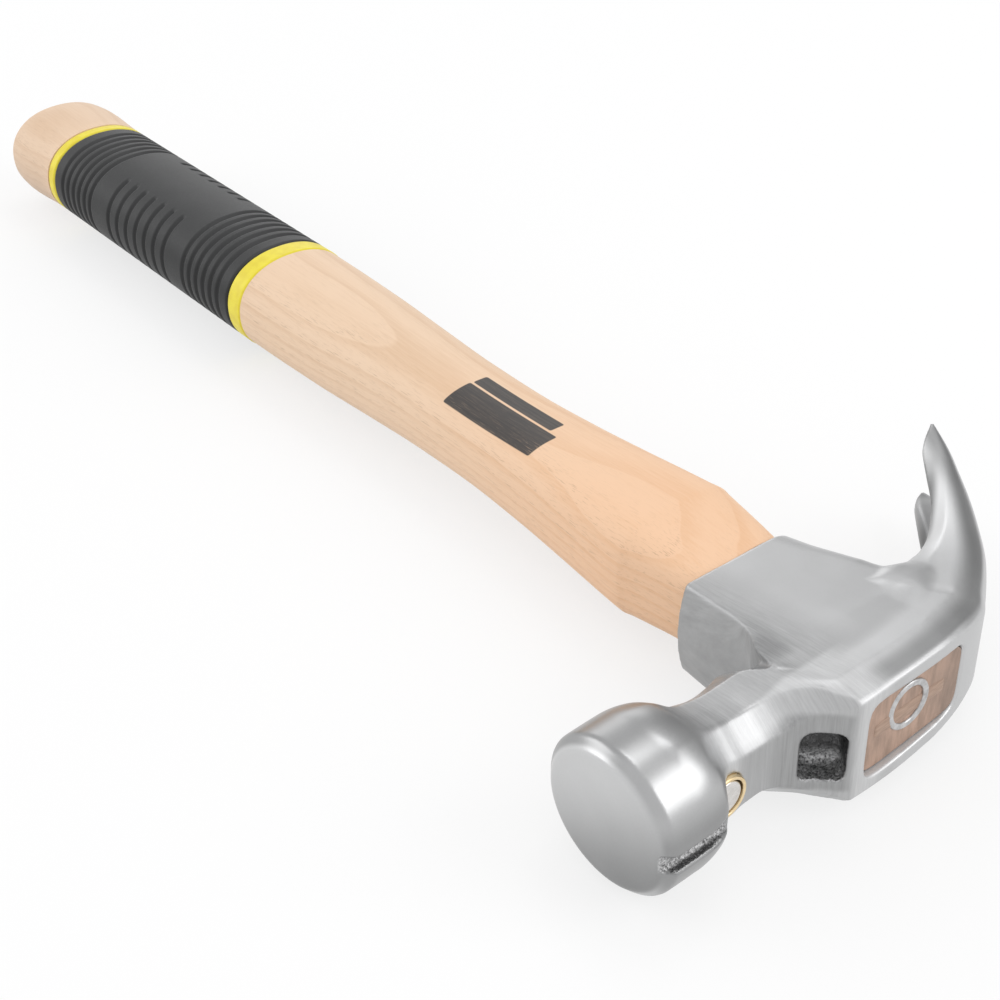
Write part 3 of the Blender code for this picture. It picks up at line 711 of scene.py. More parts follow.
CAST_WAVES = 24
CAST_HEIGHT = 0.022
CAST_SPREAD = 2.4
CAST_SEED = 7
waves = np.random.default_rng(CAST_SEED)
wave_ways = waves.normal(0.0, CAST_SPREAD, (CAST_WAVES, 3))
wave_starts = waves.uniform(0.0, 2 * math.pi, CAST_WAVES)


def cast_waves(x, y, z):
    """Uneven skin of an unground die face, in millimetres."""
    total = np.zeros(np.broadcast(x, y, z).shape)
    for (a, b, c), start in zip(wave_ways, wave_starts):
        total = total + np.sin(a * x + b * y + c * z + start)
    return CAST_HEIGHT * total


print("pocket", [2 * half for half in POCKET_HALF], "mm, groove", 2 * GROOVE_HALF, "mm wide")

# %% [markdown]
# All the fields meet here. The fillet between two forms is wide where the skirt meets the
# neck and the claws, and narrow along the soft valley under the band of the cheek. Masks
# come out of the same sums: which walls are as cast, which are inside the eye, the bore or
# the notch, where the skirt lies, and how deep below the outer face a point is. They are
# kept for the finish, as attributes of the mesh.

# %% The whole field
NECK_FILLET = 4.5
# The fillet towards the bell: z, and its reach; then the x from where and over how far it comes
POLL_FILLET = ((7.0, 10.5), (3.4, 1.53))
POLL_FILLET_X = -13.0
POLL_FILLET_RUN = 7.0
# The fillet along the cheek, from the valley under its band to the claws: x, and its reach
SKIRT_FILLET = ((8.0, 14.0, 19.0, 23.0), (1.5, 3.0, 3.0, 2.0))
EDGE_EYE = 0.5
EDGE_NOTCH = 0.55
EDGE_POCKET = 0.6
EDGE_GROOVE = 0.5
EDGE_BORE = 0.3
CAST_FROM_DEPTH = 0.3
# A cut's wall, for the masks: how near to it, and from what depth below the uncut surface
WALL_REACH = 0.4
WALL_FROM_DEPTH = 0.1
WALL_FADE = 0.5
SKIRT_MASK_FADE = 1.5


def head_field(x, y, z, masks=False, line=None):
    """Distance outside the head, in millimetres, for flat arrays of points."""
    place, depth, past_end = line or along_line(x, y)
    body = body_field(place, depth, past_end, z)
    field = smooth_min(body, bell_field(x, y, z), NECK_FILLET)
    fillet = np.interp(x, *SKIRT_FILLET)
    poll = np.interp(np.abs(z), *POLL_FILLET)
    fillet = fillet + (poll - fillet) * np.clip((POLL_FILLET_X - x) / POLL_FILLET_RUN, 0, 1)
    skirt = skirt_field(x, y, z)
    uncut = smooth_min(field, skirt, fillet)
    rough = cast_waves(x, y, z) * np.clip(-uncut - CAST_FROM_DEPTH, 0, 1)
    eye, bore = eye_field(x, y, z), bore_field(x, y, z)
    notch = notch_field(x, place, depth, z)
    pocket = pocket_field(x, y, z) + rough
    groove = groove_field(x, y, z) + rough
    field = uncut
    for cut, edge in (
            (eye, EDGE_EYE), (notch, EDGE_NOTCH), (bore, EDGE_BORE),
            (pocket, EDGE_POCKET), (groove, EDGE_GROOVE)):
        field = smooth_max(field, -cut, edge)
    if not masks:
        return field
    buried = np.clip((-uncut - WALL_FROM_DEPTH) / WALL_FADE, 0, 1)

    def walls(*cuts):
        return (np.abs(cuts).min(axis=0) < WALL_REACH) * buried

    return {
        "cast": walls(pocket, groove),
        "inner": walls(eye, bore),
        # The notch's walls, which the finish darkens with painted shade.
        "notch": walls(notch),
        "skirt": np.clip((body - skirt) / SKIRT_MASK_FADE, 0, 1),
        "depth": depth,
    }


bell_middle = (np.full(1, BELL_BARREL_X), np.full(1, BELL_AXIS_Y), np.zeros(1))
print("field at the bell's middle:", head_field(*bell_middle).round(2), "mm")

# %% [markdown]
# A grid of samples turns the field into a mesh. Each cell that the surface crosses gets
# one vertex, and each grid edge that it crosses gets one quad: this is called surface
# nets. It keeps quads even, where cutting the cells into triangles would leave slivers.

# %% Surface nets
GRID_STEP = 0.46
GRID_LOW = np.array((-61.0, -2.5, -15.6))
GRID_HIGH = np.array((64.5, 50.5, 15.6))


def sample_grid():
    """The field at every grid point; the place along the line is the same for every z."""
    axes = [np.arange(low, high, GRID_STEP) for low, high in zip(GRID_LOW, GRID_HIGH)]
    x, y = (part.ravel() for part in np.meshgrid(axes[0], axes[1], indexing="ij"))
    line = along_line(x, y)
    layers = [head_field(x, y, np.full(x.size, z), line=line) for z in axes[2]]
    field = np.stack(layers, axis=-1).reshape([len(axis) for axis in axes])
    return axes, field


def surface_nets(axes, field):
    """One vertex in each crossed cell, and one quad round each crossed edge."""
    inside = field < 0
    cells = tuple(n - 1 for n in field.shape)
    total = np.zeros((*cells, 3))
    count = np.zeros(cells)
    crossings = []
    for way in range(3):
        ahead = [slice(None)] * 3
        back = [slice(None)] * 3
        ahead[way], back[way] = slice(1, None), slice(None, -1)
        a, b = field[tuple(back)], field[tuple(ahead)]
        crossed = inside[tuple(back)] != inside[tuple(ahead)]
        share = np.where(crossed, a / np.where(crossed, a - b, 1), 0)
        crossings.append(crossed)
        others = [other for other in range(3) if other != way]
        for shift in ((0, 0), (0, 1), (1, 0), (1, 1)):
            pick = [slice(None)] * 3
            for other, step in zip(others, shift):
                pick[other] = slice(step, cells[other] + step)
            hit = crossed[tuple(pick)]
            count += hit
            total[..., way] += np.where(hit, share[tuple(pick)], 0)
            for other, step in zip(others, shift):
                total[..., other] += np.where(hit, step, 0)
    used = count > 0
    number = np.full(cells, -1)
    number[used] = np.arange(used.sum())
    corner = np.stack(np.nonzero(used), axis=1)
    low = np.array([axis[0] for axis in axes])
    points = low + GRID_STEP * (corner + total[used] / count[used][:, None])
    quads = []
    for way, crossed in enumerate(crossings):
        u, v = [(way + 1) % 3, (way + 2) % 3]
        spots = np.stack(np.nonzero(crossed), axis=1)
        inner = (spots[:, u] > 0) & (spots[:, v] > 0)
        spots = spots[inner & (spots[:, u] < cells[u]) & (spots[:, v] < cells[v])]
        leaving = inside[tuple(spots.T)]
        ring = []
        for du, dv in ((1, 1), (0, 1), (0, 0), (1, 0)):
            cell = spots.copy()
            cell[:, u] -= du
            cell[:, v] -= dv
            ring.append(number[tuple(cell.T)])
        quad = np.stack(ring, axis=1)
        quad[~leaving] = quad[~leaving][:, ::-1]
        quads.append(quad)
    return points, np.concatenate(quads)


net_points, net_quads = surface_nets(*sample_grid())
print(f"net: {len(net_points)} vertices, {len(net_quads)} quads")

# %% [markdown]
# The net is stepped by its grid. So its vertices are moved along the field's slope until
# they lie on the surface, with a little smoothing in between that keeps the quads even.
# The masks are then read at every vertex.

# %% The head's mesh
SETTLE_ROUNDS = 4
SETTLE_SHARE = 0.5
SLOPE_STEP = 0.02
LEAST_STEEPNESS = 0.2


def settle(points, quads):
    """Even out the quads, and bring every vertex onto the surface."""
    pairs = np.concatenate([np.stack((quads[:, i], quads[:, i - 1]), 1) for i in range(4)])
    pairs = np.concatenate((pairs, pairs[:, ::-1]))
    degree = np.bincount(pairs[:, 0], minlength=len(points))[:, None]
    for turn in range(SETTLE_ROUNDS):
        if turn < SETTLE_ROUNDS - 1:
            near = np.stack([
                np.bincount(pairs[:, 0], weights=points[pairs[:, 1], i], minlength=len(points))
                for i in range(3)], axis=1) / degree
            points = points + SETTLE_SHARE * (near - points)
        value = head_field(*points.T)
        slope = np.empty_like(points)
        for i in range(3):
            shift = np.zeros(3)
            shift[i] = SLOPE_STEP
            slope[:, i] = (head_field(*(points + shift).T) - value) / SLOPE_STEP
        steep = np.maximum((slope ** 2).sum(axis=1), LEAST_STEEPNESS)
        move = np.clip(value / steep, -GRID_STEP, GRID_STEP)
        points = points - move[:, None] * slope
    return points


def mesh_from(name, points, faces):
    """A smooth-shaded mesh object of these points, in metres, and lists of face corners."""
    mesh = bpy.data.meshes.new(name)
    mesh.from_pydata(points.tolist(), [], faces)
    mesh.update()
    mesh.shade_smooth()
    return put_in_scene(name, mesh)


def add_values(piece, name, values):
    """Keep one number for each vertex as an attribute, for the finish to read."""
    made = piece.data.attributes.new(name, "FLOAT", "POINT")
    made.data.foreach_set("value", values.astype(np.float32))


net_points = settle(net_points, net_quads)
head = mesh_from("hammer_head", head_to_cad(net_points), net_quads.tolist())
for mask_name, mask in head_field(*net_points.T, masks=True).items():
    add_values(head, mask_name, mask)
print(f"head: {len(net_points)} vertices, {2 * len(net_quads)} triangles")

# %% [markdown]
# ## The head's finish
#
# The steel is ground and lightly polished, then left bare. The bell is buffed, the neck
# keeps the fine cross scratches of the belt, the cheeks have an even satin, and pocket and
# groove are grainy as forged. Their dark is forged skin and painted shade, and their lit
# floors are painted light. Much of the light and shade elsewhere on the head is painted
# into the tone too. One metal material holds them all. Its masks are the mesh's attributes
# and places along the head, and its scratches are noise that is stretched one way.

# %% Places on the head
# The claws' underside, as a mask sees it: its depth at x = 0, and how much that falls for each mm
UNDERSIDE_DEPTH = 18.4
UNDERSIDE_FALL = 0.28


def head_coordinates(tree):
    """Object coordinates turned and moved into the head's own frame, in millimetres."""
    start_x, start_y = -FRAME_ORIGIN[0] - HEAD_SHIFT_X, -FRAME_ORIGIN[1]
    moved = (
        start_x * math.cos(HANG) + start_y * math.sin(HANG),
        start_y * math.cos(HANG) - start_x * math.sin(HANG),
        -FRAME_ORIGIN[2],
    )
    return in_millimetres(tree, moved, -HANG)


def head_places(tree, place):
    """Masks of the head's parts: x runs along it, y down, z across, depth from the outer face."""
    x, y, z = split(tree, place)
    wide = z.math("ABSOLUTE")
    on = {name: attribute(tree, name) for name in ("cast", "inner", "notch", "skirt", "depth")}
    depth = on["depth"]
    bell = on["bell"] = x.under(-45.0, -41.0)
    face = on["face"] = x.under(-58.2, -57.4)
    barrel = bell * (1 - face)
    # Painted reflection: the face is lighter, and darker towards its lower edge.
    on["face_low_painted_reflection"] = face * (y * 0.5 + z).under(-6.0, 20.0)
    # Painted reflection on the barrel: darker low down by the outer face, and along its top.
    on["barrel_low_painted_reflection"] = barrel * y.under(3.5, 6.5) * z.under(3.0, 8.0)
    on["barrel_high_painted_reflection"] = barrel * y.between(12.0, 17.0)
    # Where light reaches into groove and pocket; the cast colour paints light there.
    on["groove_floor"] = bell * y.between(3.5, 4.3)
    on["pocket_lit"] = (1 - bell) * z.under(-5.5, -3.0)
    neck = on["neck"] = (1 - bell) * x.under(-13.0, -4.0)
    slope = x.zone((-38.0, -35.0), (-19.0, -17.0)) * y.under(6.5, 9.5) * wide.under(7.5, 9.0)
    on["slope"] = slope
    on["neck_side"] = neck * y.under(11.5, 13.0) * (1 - slope)
    # Painted shade on the neck's upper facet, for the way the light falls on it.
    on["neck_top_painted_shade"] = neck * (1 - on["neck_side"]) * (1 - slope)
    # Painted shade that dulls the highlight on the body's upper edge near the neck.
    on["ridge"] = x.zone((-28.0, -24.0), (-18.0, -15.5)) * depth.under(3.0, 5.5) * (1 - slope)
    # Painted shade in the concave fillet between neck, skirt and cheek; the fillet is also rougher.
    on["corner"] = x.zone((-24.0, -22.0), (-16.5, -15.0)) * y.zone((14.5, 17.0), (21.0, 25.0))
    # Painted shade on the skirt's side towards the bell, which is also rougher.
    on["skirt_wall"] = on["skirt"] * x.under(-15.5, -13.0) * y.between(15.0, 19.0)
    on["cheek"] = on["skirt"] * x.between(-13.0, -9.0)
    # The band along the cheek's edge: painted shade where it turns towards the outer face, more of
    # it on the claws, and a painted highlight below it.
    flank = wide.between(6.5, 8.0) * x.between(-14.0, -8.0) * depth.between(0.6, 1.4)
    on["band_painted_shade"] = flank * depth.under(2.6, 5.0)
    on["claw_band_painted_shade"] = on["band_painted_shade"] * x.between(18.0, 30.0)
    # Painted shade on the claws' underside near their root.
    under_claw = (depth + x * UNDERSIDE_FALL - UNDERSIDE_DEPTH).between(-0.6, 0.8)
    on["claw_underside_painted_shade"] = under_claw * x.between(27.0, 35.0) * (1 - x.between(44.0, 55.0) * 0.9)
    on["band_painted_highlight"] = flank * depth.zone((3.8, 6.0), (8.5, 12.0)) * (1 - on["claw_underside_painted_shade"])
    return on


print(f"the head hangs at {math.degrees(HANG):.2f} degrees")

# %% [markdown]
# Each place on the head is a little smoother or rougher than plain steel, and lighter or
# darker. Most of the lighter and darker is painted light and shade, set by how the light
# falls on each place. The two tables say by how much, and the finish adds them up over
# the masks.

# %% Steel of the head
STEEL_TONE = 0.545
# Bell, neck, cheek and slope are toned as a whole; every other entry is painted light or painted
# shade.
TONE_AND_PAINTED_LIGHT = {
    "bell": -0.09, "face": 0.15, "face_low_painted_reflection": -0.34, "barrel_low_painted_reflection": -0.14, "barrel_high_painted_reflection": -0.10,
    "neck": 0.05, "neck_side": 0.01, "neck_top_painted_shade": -0.12, "slope": -0.23, "ridge": -0.10,
    "corner": -0.06, "skirt_wall": -0.08, "cheek": 0.04, "notch": -0.12, "band_painted_shade": -0.15,
    "claw_band_painted_shade": -0.05, "band_painted_highlight": 0.12, "claw_underside_painted_shade": -0.30,
}
STEEL_ROUGHNESS = 0.38
ROUGHNESS_CHANGES = {
    "bell": -0.07, "neck_side": 0.10, "corner": 0.10, "skirt_wall": 0.10, "slope": 0.05,
    "cast": -0.02,
}
BLACK = (0.0, 0.0, 0.0, 1.0)
STEEL_WHITE = (0.995, 1.0, 1.005, 1.0)


def cast_colour(tree, on, grain):
    """Dark forged skin with bright specks; its dark is also painted shade, and lit floors get
    painted light.
    """
    # Painted light on the groove's floor and the pocket's lower part.
    painted_light = (on["groove_floor"] * 0.75).math("MAXIMUM", on["pocket_lit"] * 0.8)
    specks = grain.between(0.5, 0.72) * (0.12 + on["bell"] * 0.28)
    return mix_colours(tree, specks + painted_light * grain.between(0.3, 0.6), grey(0.12), grey(0.72))


def steel_finish():
    made, tree, shader = new_finish("head_steel")
    place = head_coordinates(tree)
    on = head_places(tree, place)
    neck, slope, cast = on["neck"], on["slope"], on["cast"]
    cloud = noise(tree, place, 0.09, 3.0)
    satin = noise(tree, place, 2.6, 3.0, 0.6)
    grain = noise(tree, place, 2.2, 3.0, 0.6)
    cross = stretched(tree, place, (3.2, 0.16, 0.16), 4.0, 0.65, 0.15)
    lengthways = stretched(tree, place, (0.12, 2.6, 2.6), 3.0, 0.6)
    upright = stretched(tree, place, (2.4, 2.4, 0.08), 3.0, 0.6)
    scratch = cross * neck * (1 - slope) + upright * slope + lengthways * (1 - neck) * 0.35
    tone = STEEL_TONE + (cloud - 0.5) * 0.08 + (scratch - 0.5) * neck * 0.24 + (satin - 0.5) * 0.04
    for name, change in TONE_AND_PAINTED_LIGHT.items():
        tone = tone + on[name] * change
    colour = mix_colours(tree, tone, BLACK, STEEL_WHITE)
    colour = mix_colours(tree, cast, colour, cast_colour(tree, on, grain))
    colour = mix_colours(tree, on["inner"], colour, grey(0.62))
    plug(tree, shader.inputs["Base Color"], colour)
    rough = STEEL_ROUGHNESS + (cloud - 0.5) * 0.08 + (satin - 0.5) * 0.10
    rough = rough + (scratch - 0.3) * neck * 0.12
    for name, change in ROUGHNESS_CHANGES.items():
        rough = rough + on[name] * change
    plug(tree, shader.inputs["Roughness"], rough)
    bare = 1 - on["inner"] * 0.6 - cast * on["groove_floor"] * 0.7
    plug(tree, shader.inputs["Metallic"], bare)
    lines = scratch * (0.25 + neck) + satin * (1 - on["bell"]) * 0.1
    lines = bump(tree, lines, 0.16, 0.00012)
    plug(tree, shader.inputs["Normal"], bump(tree, grain * cast, 0.7, 0.0004, Normal=lines))
    return made


head.data.materials.append(steel_finish())
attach(head, "root")
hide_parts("head")
print("head finish:", head.data.materials[0].name)

# %% [markdown]
# ## The handle
#
# The handle is one piece of pale hardwood. Its section changes from a near rectangle in
# the eye to an oval at the butt, so it is a loft of such sections, close together. Under
# the grip it is turned down to a seat, and its upper end shows in the eye, square to the
# head's top face.

# %% Handle loft
TENON_TOP_Y = 1.3
SHOULDER_Y = 42.4
# y, centre x, half width, half thickness and squareness of the section
HANDLE_SECTIONS = np.array((
    (42.35, -0.35, 12.35, 9.0, 3.6), (52.0, 0.0, 13.4, 10.2, 3.7), (58.4, 0.1, 14.4, 11.1, 3.5),
    (60.2, 0.1, 14.72, 11.33, 3.5), (63.0, 0.0, 14.62, 11.25, 3.4), (70.0, 0.0, 14.2, 10.95, 3.3),
    (80.0, 0.0, 13.6, 10.5, 3.1), (95.0, 0.0, 12.95, 10.0, 2.75), (112.0, 0.0, 12.6, 9.7, 2.5),
    (130.0, 0.0, 12.9, 9.95, 2.4), (150.0, 0.0, 13.95, 10.75, 2.3), (170.0, 0.0, 15.05, 11.6, 2.25),
    (198.0, 0.0, 15.8, 12.2, 2.2), (305.4, 0.0, 16.4, 12.6, 2.2), (321.5, 0.0, 17.15, 13.2, 2.2),
    (328.0, 0.0, 16.7, 12.8, 2.2), (331.4, 0.0, 15.1, 11.5, 2.2), (332.7, 0.0, 12.6, 9.4, 2.2),
    (333.0, 0.0, 10.0, 7.2, 2.2),
))
HANDLE_POINTS = 120
HANDLE_STEPS = 8
TENON_LOOPS = 6
TENON_END_Y = SHOULDER_Y - 0.2
# Over this many millimetres below the shoulder the head's hang fades out of the loops
HANG_RUN = 6
SEAT_FRONT_Y = 198.1
SEAT_REAR_Y = 305.3
SEAT_LOOPS = 12
# The bands' and the sleeve's edges along the handle, then half width and thickness at each end
GRIP_EDGES = (198.2, 204.1, 301.4, 305.2)
GRIP_OUTER = ((16.0, 12.35), (16.35, 12.6))
GRIP_WALL = 1.1
GRIP_POWER = 2.2


def oval(y, centre, half_width, half_thickness, power):
    """One section across the handle, counted from the top, first towards the claws."""
    turn = 2 * math.pi * np.arange(HANDLE_POINTS) / HANDLE_POINTS
    across = np.sign(np.sin(turn)) * np.abs(np.sin(turn)) ** (2 / power)
    up = np.sign(np.cos(turn)) * np.abs(np.cos(turn)) ** (2 / power)
    return np.stack(
        (centre + half_width * across, np.full(HANDLE_POINTS, y), half_thickness * up), axis=1)


def grip_outer(y):
    """Half width and half thickness of the grip at y."""
    share = (y - GRIP_EDGES[0]) / (GRIP_EDGES[3] - GRIP_EDGES[0])
    return [a + share * (b - a) for a, b in zip(*GRIP_OUTER)]


def tenon(y):
    """The handle's section in the eye, with the eye's own taper."""
    centre, width, half = eye_section(y)
    loop = oval(y, centre, width - GAP, half - GAP, EYE_POWER)
    loop[:, 2] *= 1 - EYE_NARROWING * (loop[:, 0] - centre) / width
    loop[:, 1] += loop[:, 0] * math.tan(HANG)
    return loop


def handle_loops():
    """All sections from the tenon's end to the butt, with the seat under the grip."""
    loops = [tenon(y) for y in np.linspace(TENON_TOP_Y, TENON_END_Y, TENON_LOOPS)]
    for y, *section in smooth_table(HANDLE_SECTIONS, HANDLE_SECTIONS[:, 0], HANDLE_STEPS):
        if SEAT_FRONT_Y < y < SEAT_REAR_Y:
            continue
        loop = oval(y, *section)
        if y < SHOULDER_Y + HANG_RUN:
            loop[:, 1] += loop[:, 0] * math.tan(HANG) * (1 - (y - SHOULDER_Y) / HANG_RUN)
        loops.append(loop)
    seat = []
    for y in np.linspace(SEAT_FRONT_Y, SEAT_REAR_Y, SEAT_LOOPS):
        halves = [half - GRIP_WALL - GAP for half in grip_outer(y)]
        seat.append(oval(y, 0.0, *halves, GRIP_POWER))
    front = next(i for i, loop in enumerate(loops) if loop[0, 1] > SEAT_FRONT_Y)
    return loops[:front] + seat + loops[front:]


shaft_loops = handle_loops()
print("handle:", len(shaft_loops), "loops of", HANDLE_POINTS, "points")

# %% [markdown]
# A skin over the loops makes the mesh, and loops that shrink towards the middle fill the
# two ends evenly. How far each point lies round its loop is kept as an attribute, because
# the print on the wood follows the surface.

# %% Skin of the handle
CAP_SHARES = np.linspace(0.97, 0.08, 5)
CREASE = math.radians(50)


def cap_loops(loop):
    """Loops that shrink from an end loop towards its middle, to fill the end evenly."""
    middle = loop.mean(axis=0)
    return [middle + (loop - middle) * share for share in CAP_SHARES]


def face_outwards(mesh, merge=0.0):
    """Merge doubles, where a distance is given, and turn the faces of a closed mesh outwards."""
    fix = bmesh.new()
    fix.from_mesh(mesh)
    if merge:
        bmesh.ops.remove_doubles(fix, verts=fix.verts, dist=merge)
    bmesh.ops.recalc_face_normals(fix, faces=fix.faces)
    fix.to_mesh(mesh)
    fix.free()


def skin(name, loops):
    """A closed loft through loops of equal count, its two ends filled."""
    loops = np.asarray(loops)
    rings, count = loops.shape[:2]
    number = np.arange(rings * count).reshape(rings, count)
    ahead = np.roll(number, -1, axis=1)
    quads = np.stack((number[:-1], ahead[:-1], ahead[1:], number[1:]), axis=-1).reshape(-1, 4)
    faces = quads.tolist() + [number[0][::-1].tolist(), number[-1].tolist()]
    made = mesh_from(name, handle_to_cad(loops.reshape(-1, 3)), faces)
    face_outwards(made.data)
    made.data.set_sharp_from_angle(angle=CREASE)
    return made


def way_round(loop):
    """How far each point lies round its loop from the top, less than zero towards the bell."""
    step = np.linalg.norm(np.diff(loop, axis=0, append=loop[:1]), axis=1)
    run = np.concatenate(([0.0], np.cumsum(step)[:-1]))
    return np.where(run > step.sum() / 2, run - step.sum(), run)


all_loops = cap_loops(shaft_loops[0])[::-1] + shaft_loops + cap_loops(shaft_loops[-1])
handle = skin("hammer_handle", all_loops)
add_values(handle, "around", np.concatenate([way_round(loop) for loop in all_loops]))
print(f"handle: {len(handle.data.polygons)} faces")

# %% [markdown]
# The wood is ring-porous: growth layers with rows of open pores. The layers lie flat, so
# the upper side shows wide, faint figure and the narrow sides show close lines. A distance
# from a far-off heart line, bent by slow noise, gives the layers; noise that is stretched
# along the handle gives fibres and pores. Near the head the wood is warmer. The dark panel
# on the upper side and the strip beside it are printed ink, so they are masks in the
# colour and not pieces.

# %% Wood of the handle
HEART = (14.0, -58.0)
LAYER_MM = 2.3
# The panel's and the strip's ends along the handle, then their edges round it
PANEL = (93.9, 123.2, -8.95, -1.2)
STRIP = (96.7, 122.9, -0.6, 3.15)
PANEL_CORNER = 0.5
PANEL_SOFTNESS = 0.12
WOOD_SPECULAR = 0.35
WOOD_PALE = (0.77, 0.57, 0.405, 1.0)
WOOD_DEEP = (0.66, 0.45, 0.29, 1.0)
WARM_PALE = (0.82, 0.54, 0.35, 1.0)
WARM_DEEP = (0.74, 0.44, 0.25, 1.0)
PORE = (0.36, 0.23, 0.14, 1.0)
END_PALE = (0.46, 0.31, 0.235, 1.0)
END_DEEP = (0.27, 0.185, 0.14, 1.0)
END_STAIN = (0.17, 0.13, 0.105, 1.0)
BUTT_PAINTED_SHADE = (0.5, 0.38, 0.29, 1.0)
INK = (0.03, 0.032, 0.035, 1.0)


def panel_mask(along, across, start, end, low, high):
    """A rounded rectangle on the handle's skin."""
    half_y, half_a = (end - start) / 2, (high - low) / 2
    dy = (along - (start + half_y)).math("ABSOLUTE") - (half_y - PANEL_CORNER)
    da = (across - (low + half_a)).math("ABSOLUTE") - (half_a - PANEL_CORNER)
    dy, da = dy.math("MAXIMUM", 0.0), da.math("MAXIMUM", 0.0)
    reach = (dy * dy + da * da).math("SQRT")
    return reach.under(PANEL_CORNER - PANEL_SOFTNESS, PANEL_CORNER + PANEL_SOFTNESS)


def wood_finish():
    made, tree, shader = new_finish("handle_wood")
    place = in_millimetres(tree, tuple(-FRAME_ORIGIN))
    x, y, z = split(tree, place)
    sway = stretched(tree, place, (0.05, 0.011, 0.05), 2.0)
    dx, dz = x - HEART[0], z - HEART[1]
    layers = (dx * dx + dz * dz).math("SQRT") / LAYER_MM + sway * 2.2
    phase = layers.math("FRACT")
    late = phase.zone((0.45, 0.93), (0.95, 1.0))
    early = phase.under(0.02, 0.42)
    fibre = stretched(tree, place, (2.0, 0.05, 2.0), 4.0, 0.6)
    pores = stretched(tree, place, (5.2, 0.26, 5.2), 2.0).between(0.55, 0.67)
    pores = pores * (0.4 + early * 0.6) * (1 - x.between(-11.0, -3.0) * 0.7)
    broad = stretched(tree, place, (0.09, 0.012, 0.09), 2.0)
    warm = y.under(55.0, 150.0)
    pale = mix_colours(tree, warm, WOOD_PALE, WARM_PALE)
    deep = mix_colours(tree, warm, WOOD_DEEP, WARM_DEEP)
    shade = late * 0.46 + (fibre - 0.5) * 1.1 + (broad - 0.5) * 0.8
    colour = mix_colours(tree, shade.math("MINIMUM", 1.0).math("MAXIMUM", 0.0), pale, deep)
    colour = mix_colours(tree, pores * 0.40, colour, PORE)
    across = attribute(tree, "around")
    ink = panel_mask(y, across, *PANEL).math("MAXIMUM", panel_mask(y, across, *STRIP))
    ink = ink * (1 - pores * 0.3) * (0.92 + fibre * 0.08)
    colour = mix_colours(tree, ink, colour, INK)
    end = y.under(3.4, 3.9)
    ends = stretched(tree, place, (0.55, 0.55, 0.12), 4.0, 0.6)
    end_colour = mix_colours(tree, ends.between(0.3, 0.75), END_PALE, END_DEEP)
    end_colour = mix_colours(tree, x.between(3.0, 13.0) * 0.45, end_colour, END_STAIN)
    colour = mix_colours(tree, end, colour, end_colour)
    # Painted shade: the butt end is a little darker, most of all on its lower side.
    butt = y.between(300.0, 312.0) * (0.2 + z.under(-9.0, 7.0) * 0.45)
    colour = mix_colours(tree, butt, colour, BUTT_PAINTED_SHADE)
    plug(tree, shader.inputs["Base Color"], colour)
    plug(tree, shader.inputs["Roughness"], 0.52 + (fibre - 0.5) * 0.2 + pores * 0.1 - ink * 0.1)
    plug(tree, shader.inputs["Specular IOR Level"], WOOD_SPECULAR)
    height = fibre * 0.25 - pores * 0.6 + ends * end
    plug(tree, shader.inputs["Normal"], bump(tree, height, 0.25, 0.00025))
    return made


handle.data.materials.append(wood_finish())
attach(handle, "root")
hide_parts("handle")
print("handle finish:", handle.data.materials[0].name)

# %% [markdown]
# ## Wedges and magnet
#
# In the eye a wooden wedge fills the saw cut in the tenon, and a steel ring is driven
# across it to lock it. At the end of the bell's groove a small disc magnet sits in a brass
# bush. All four are turned or flat pieces with a worn, rounded lip, so one profile turned
# about an axis makes the round ones.

# %% Round pieces
TURN_STEPS = 72
TURN_MERGE = 1e-7
LIP_STEPS = 5


def turned(name, profile, centre, place_points):
    """A closed profile of radius and height, turned about Y through the centre."""
    profile = np.array(profile, float)
    turn = 2 * math.pi * np.arange(TURN_STEPS) / TURN_STEPS
    radius, height = profile[:, 0], profile[:, 1]
    points = np.stack((
        centre[0] + np.outer(np.cos(turn), radius),
        np.broadcast_to(height, (TURN_STEPS, len(profile))),
        centre[1] + np.outer(np.sin(turn), radius)), axis=-1)
    number = np.arange(TURN_STEPS * len(profile)).reshape(TURN_STEPS, -1)
    around, along = np.roll(number, -1, axis=0), np.roll(number, -1, axis=1)
    both = np.roll(around, -1, axis=1)
    faces = np.stack((number, around, both, along), axis=-1).reshape(-1, 4)
    made = mesh_from(name, place_points(points.reshape(-1, 3)), faces.tolist())
    face_outwards(made.data, TURN_MERGE)
    made.data.set_sharp_from_angle(angle=CREASE)
    return made


def outer_lip(outer, top, bottom, lip):
    """Profile of a rounded outer edge, and down to the bottom."""
    arc = np.linspace(0, math.pi / 2, LIP_STEPS)
    fall = [(outer - lip + lip * math.sin(a), top + lip - lip * math.cos(a)) for a in arc]
    return [*fall, (outer, bottom)]


def ring_profile(inner, outer, top, bottom, lip):
    """Profile of a ring whose upper edges are rounded."""
    arc = np.linspace(0, math.pi / 2, LIP_STEPS)
    rise = [(inner + lip - lip * math.cos(a), top + lip - lip * math.sin(a)) for a in arc]
    return [(inner, bottom), *rise, *outer_lip(outer, top, bottom, lip)]


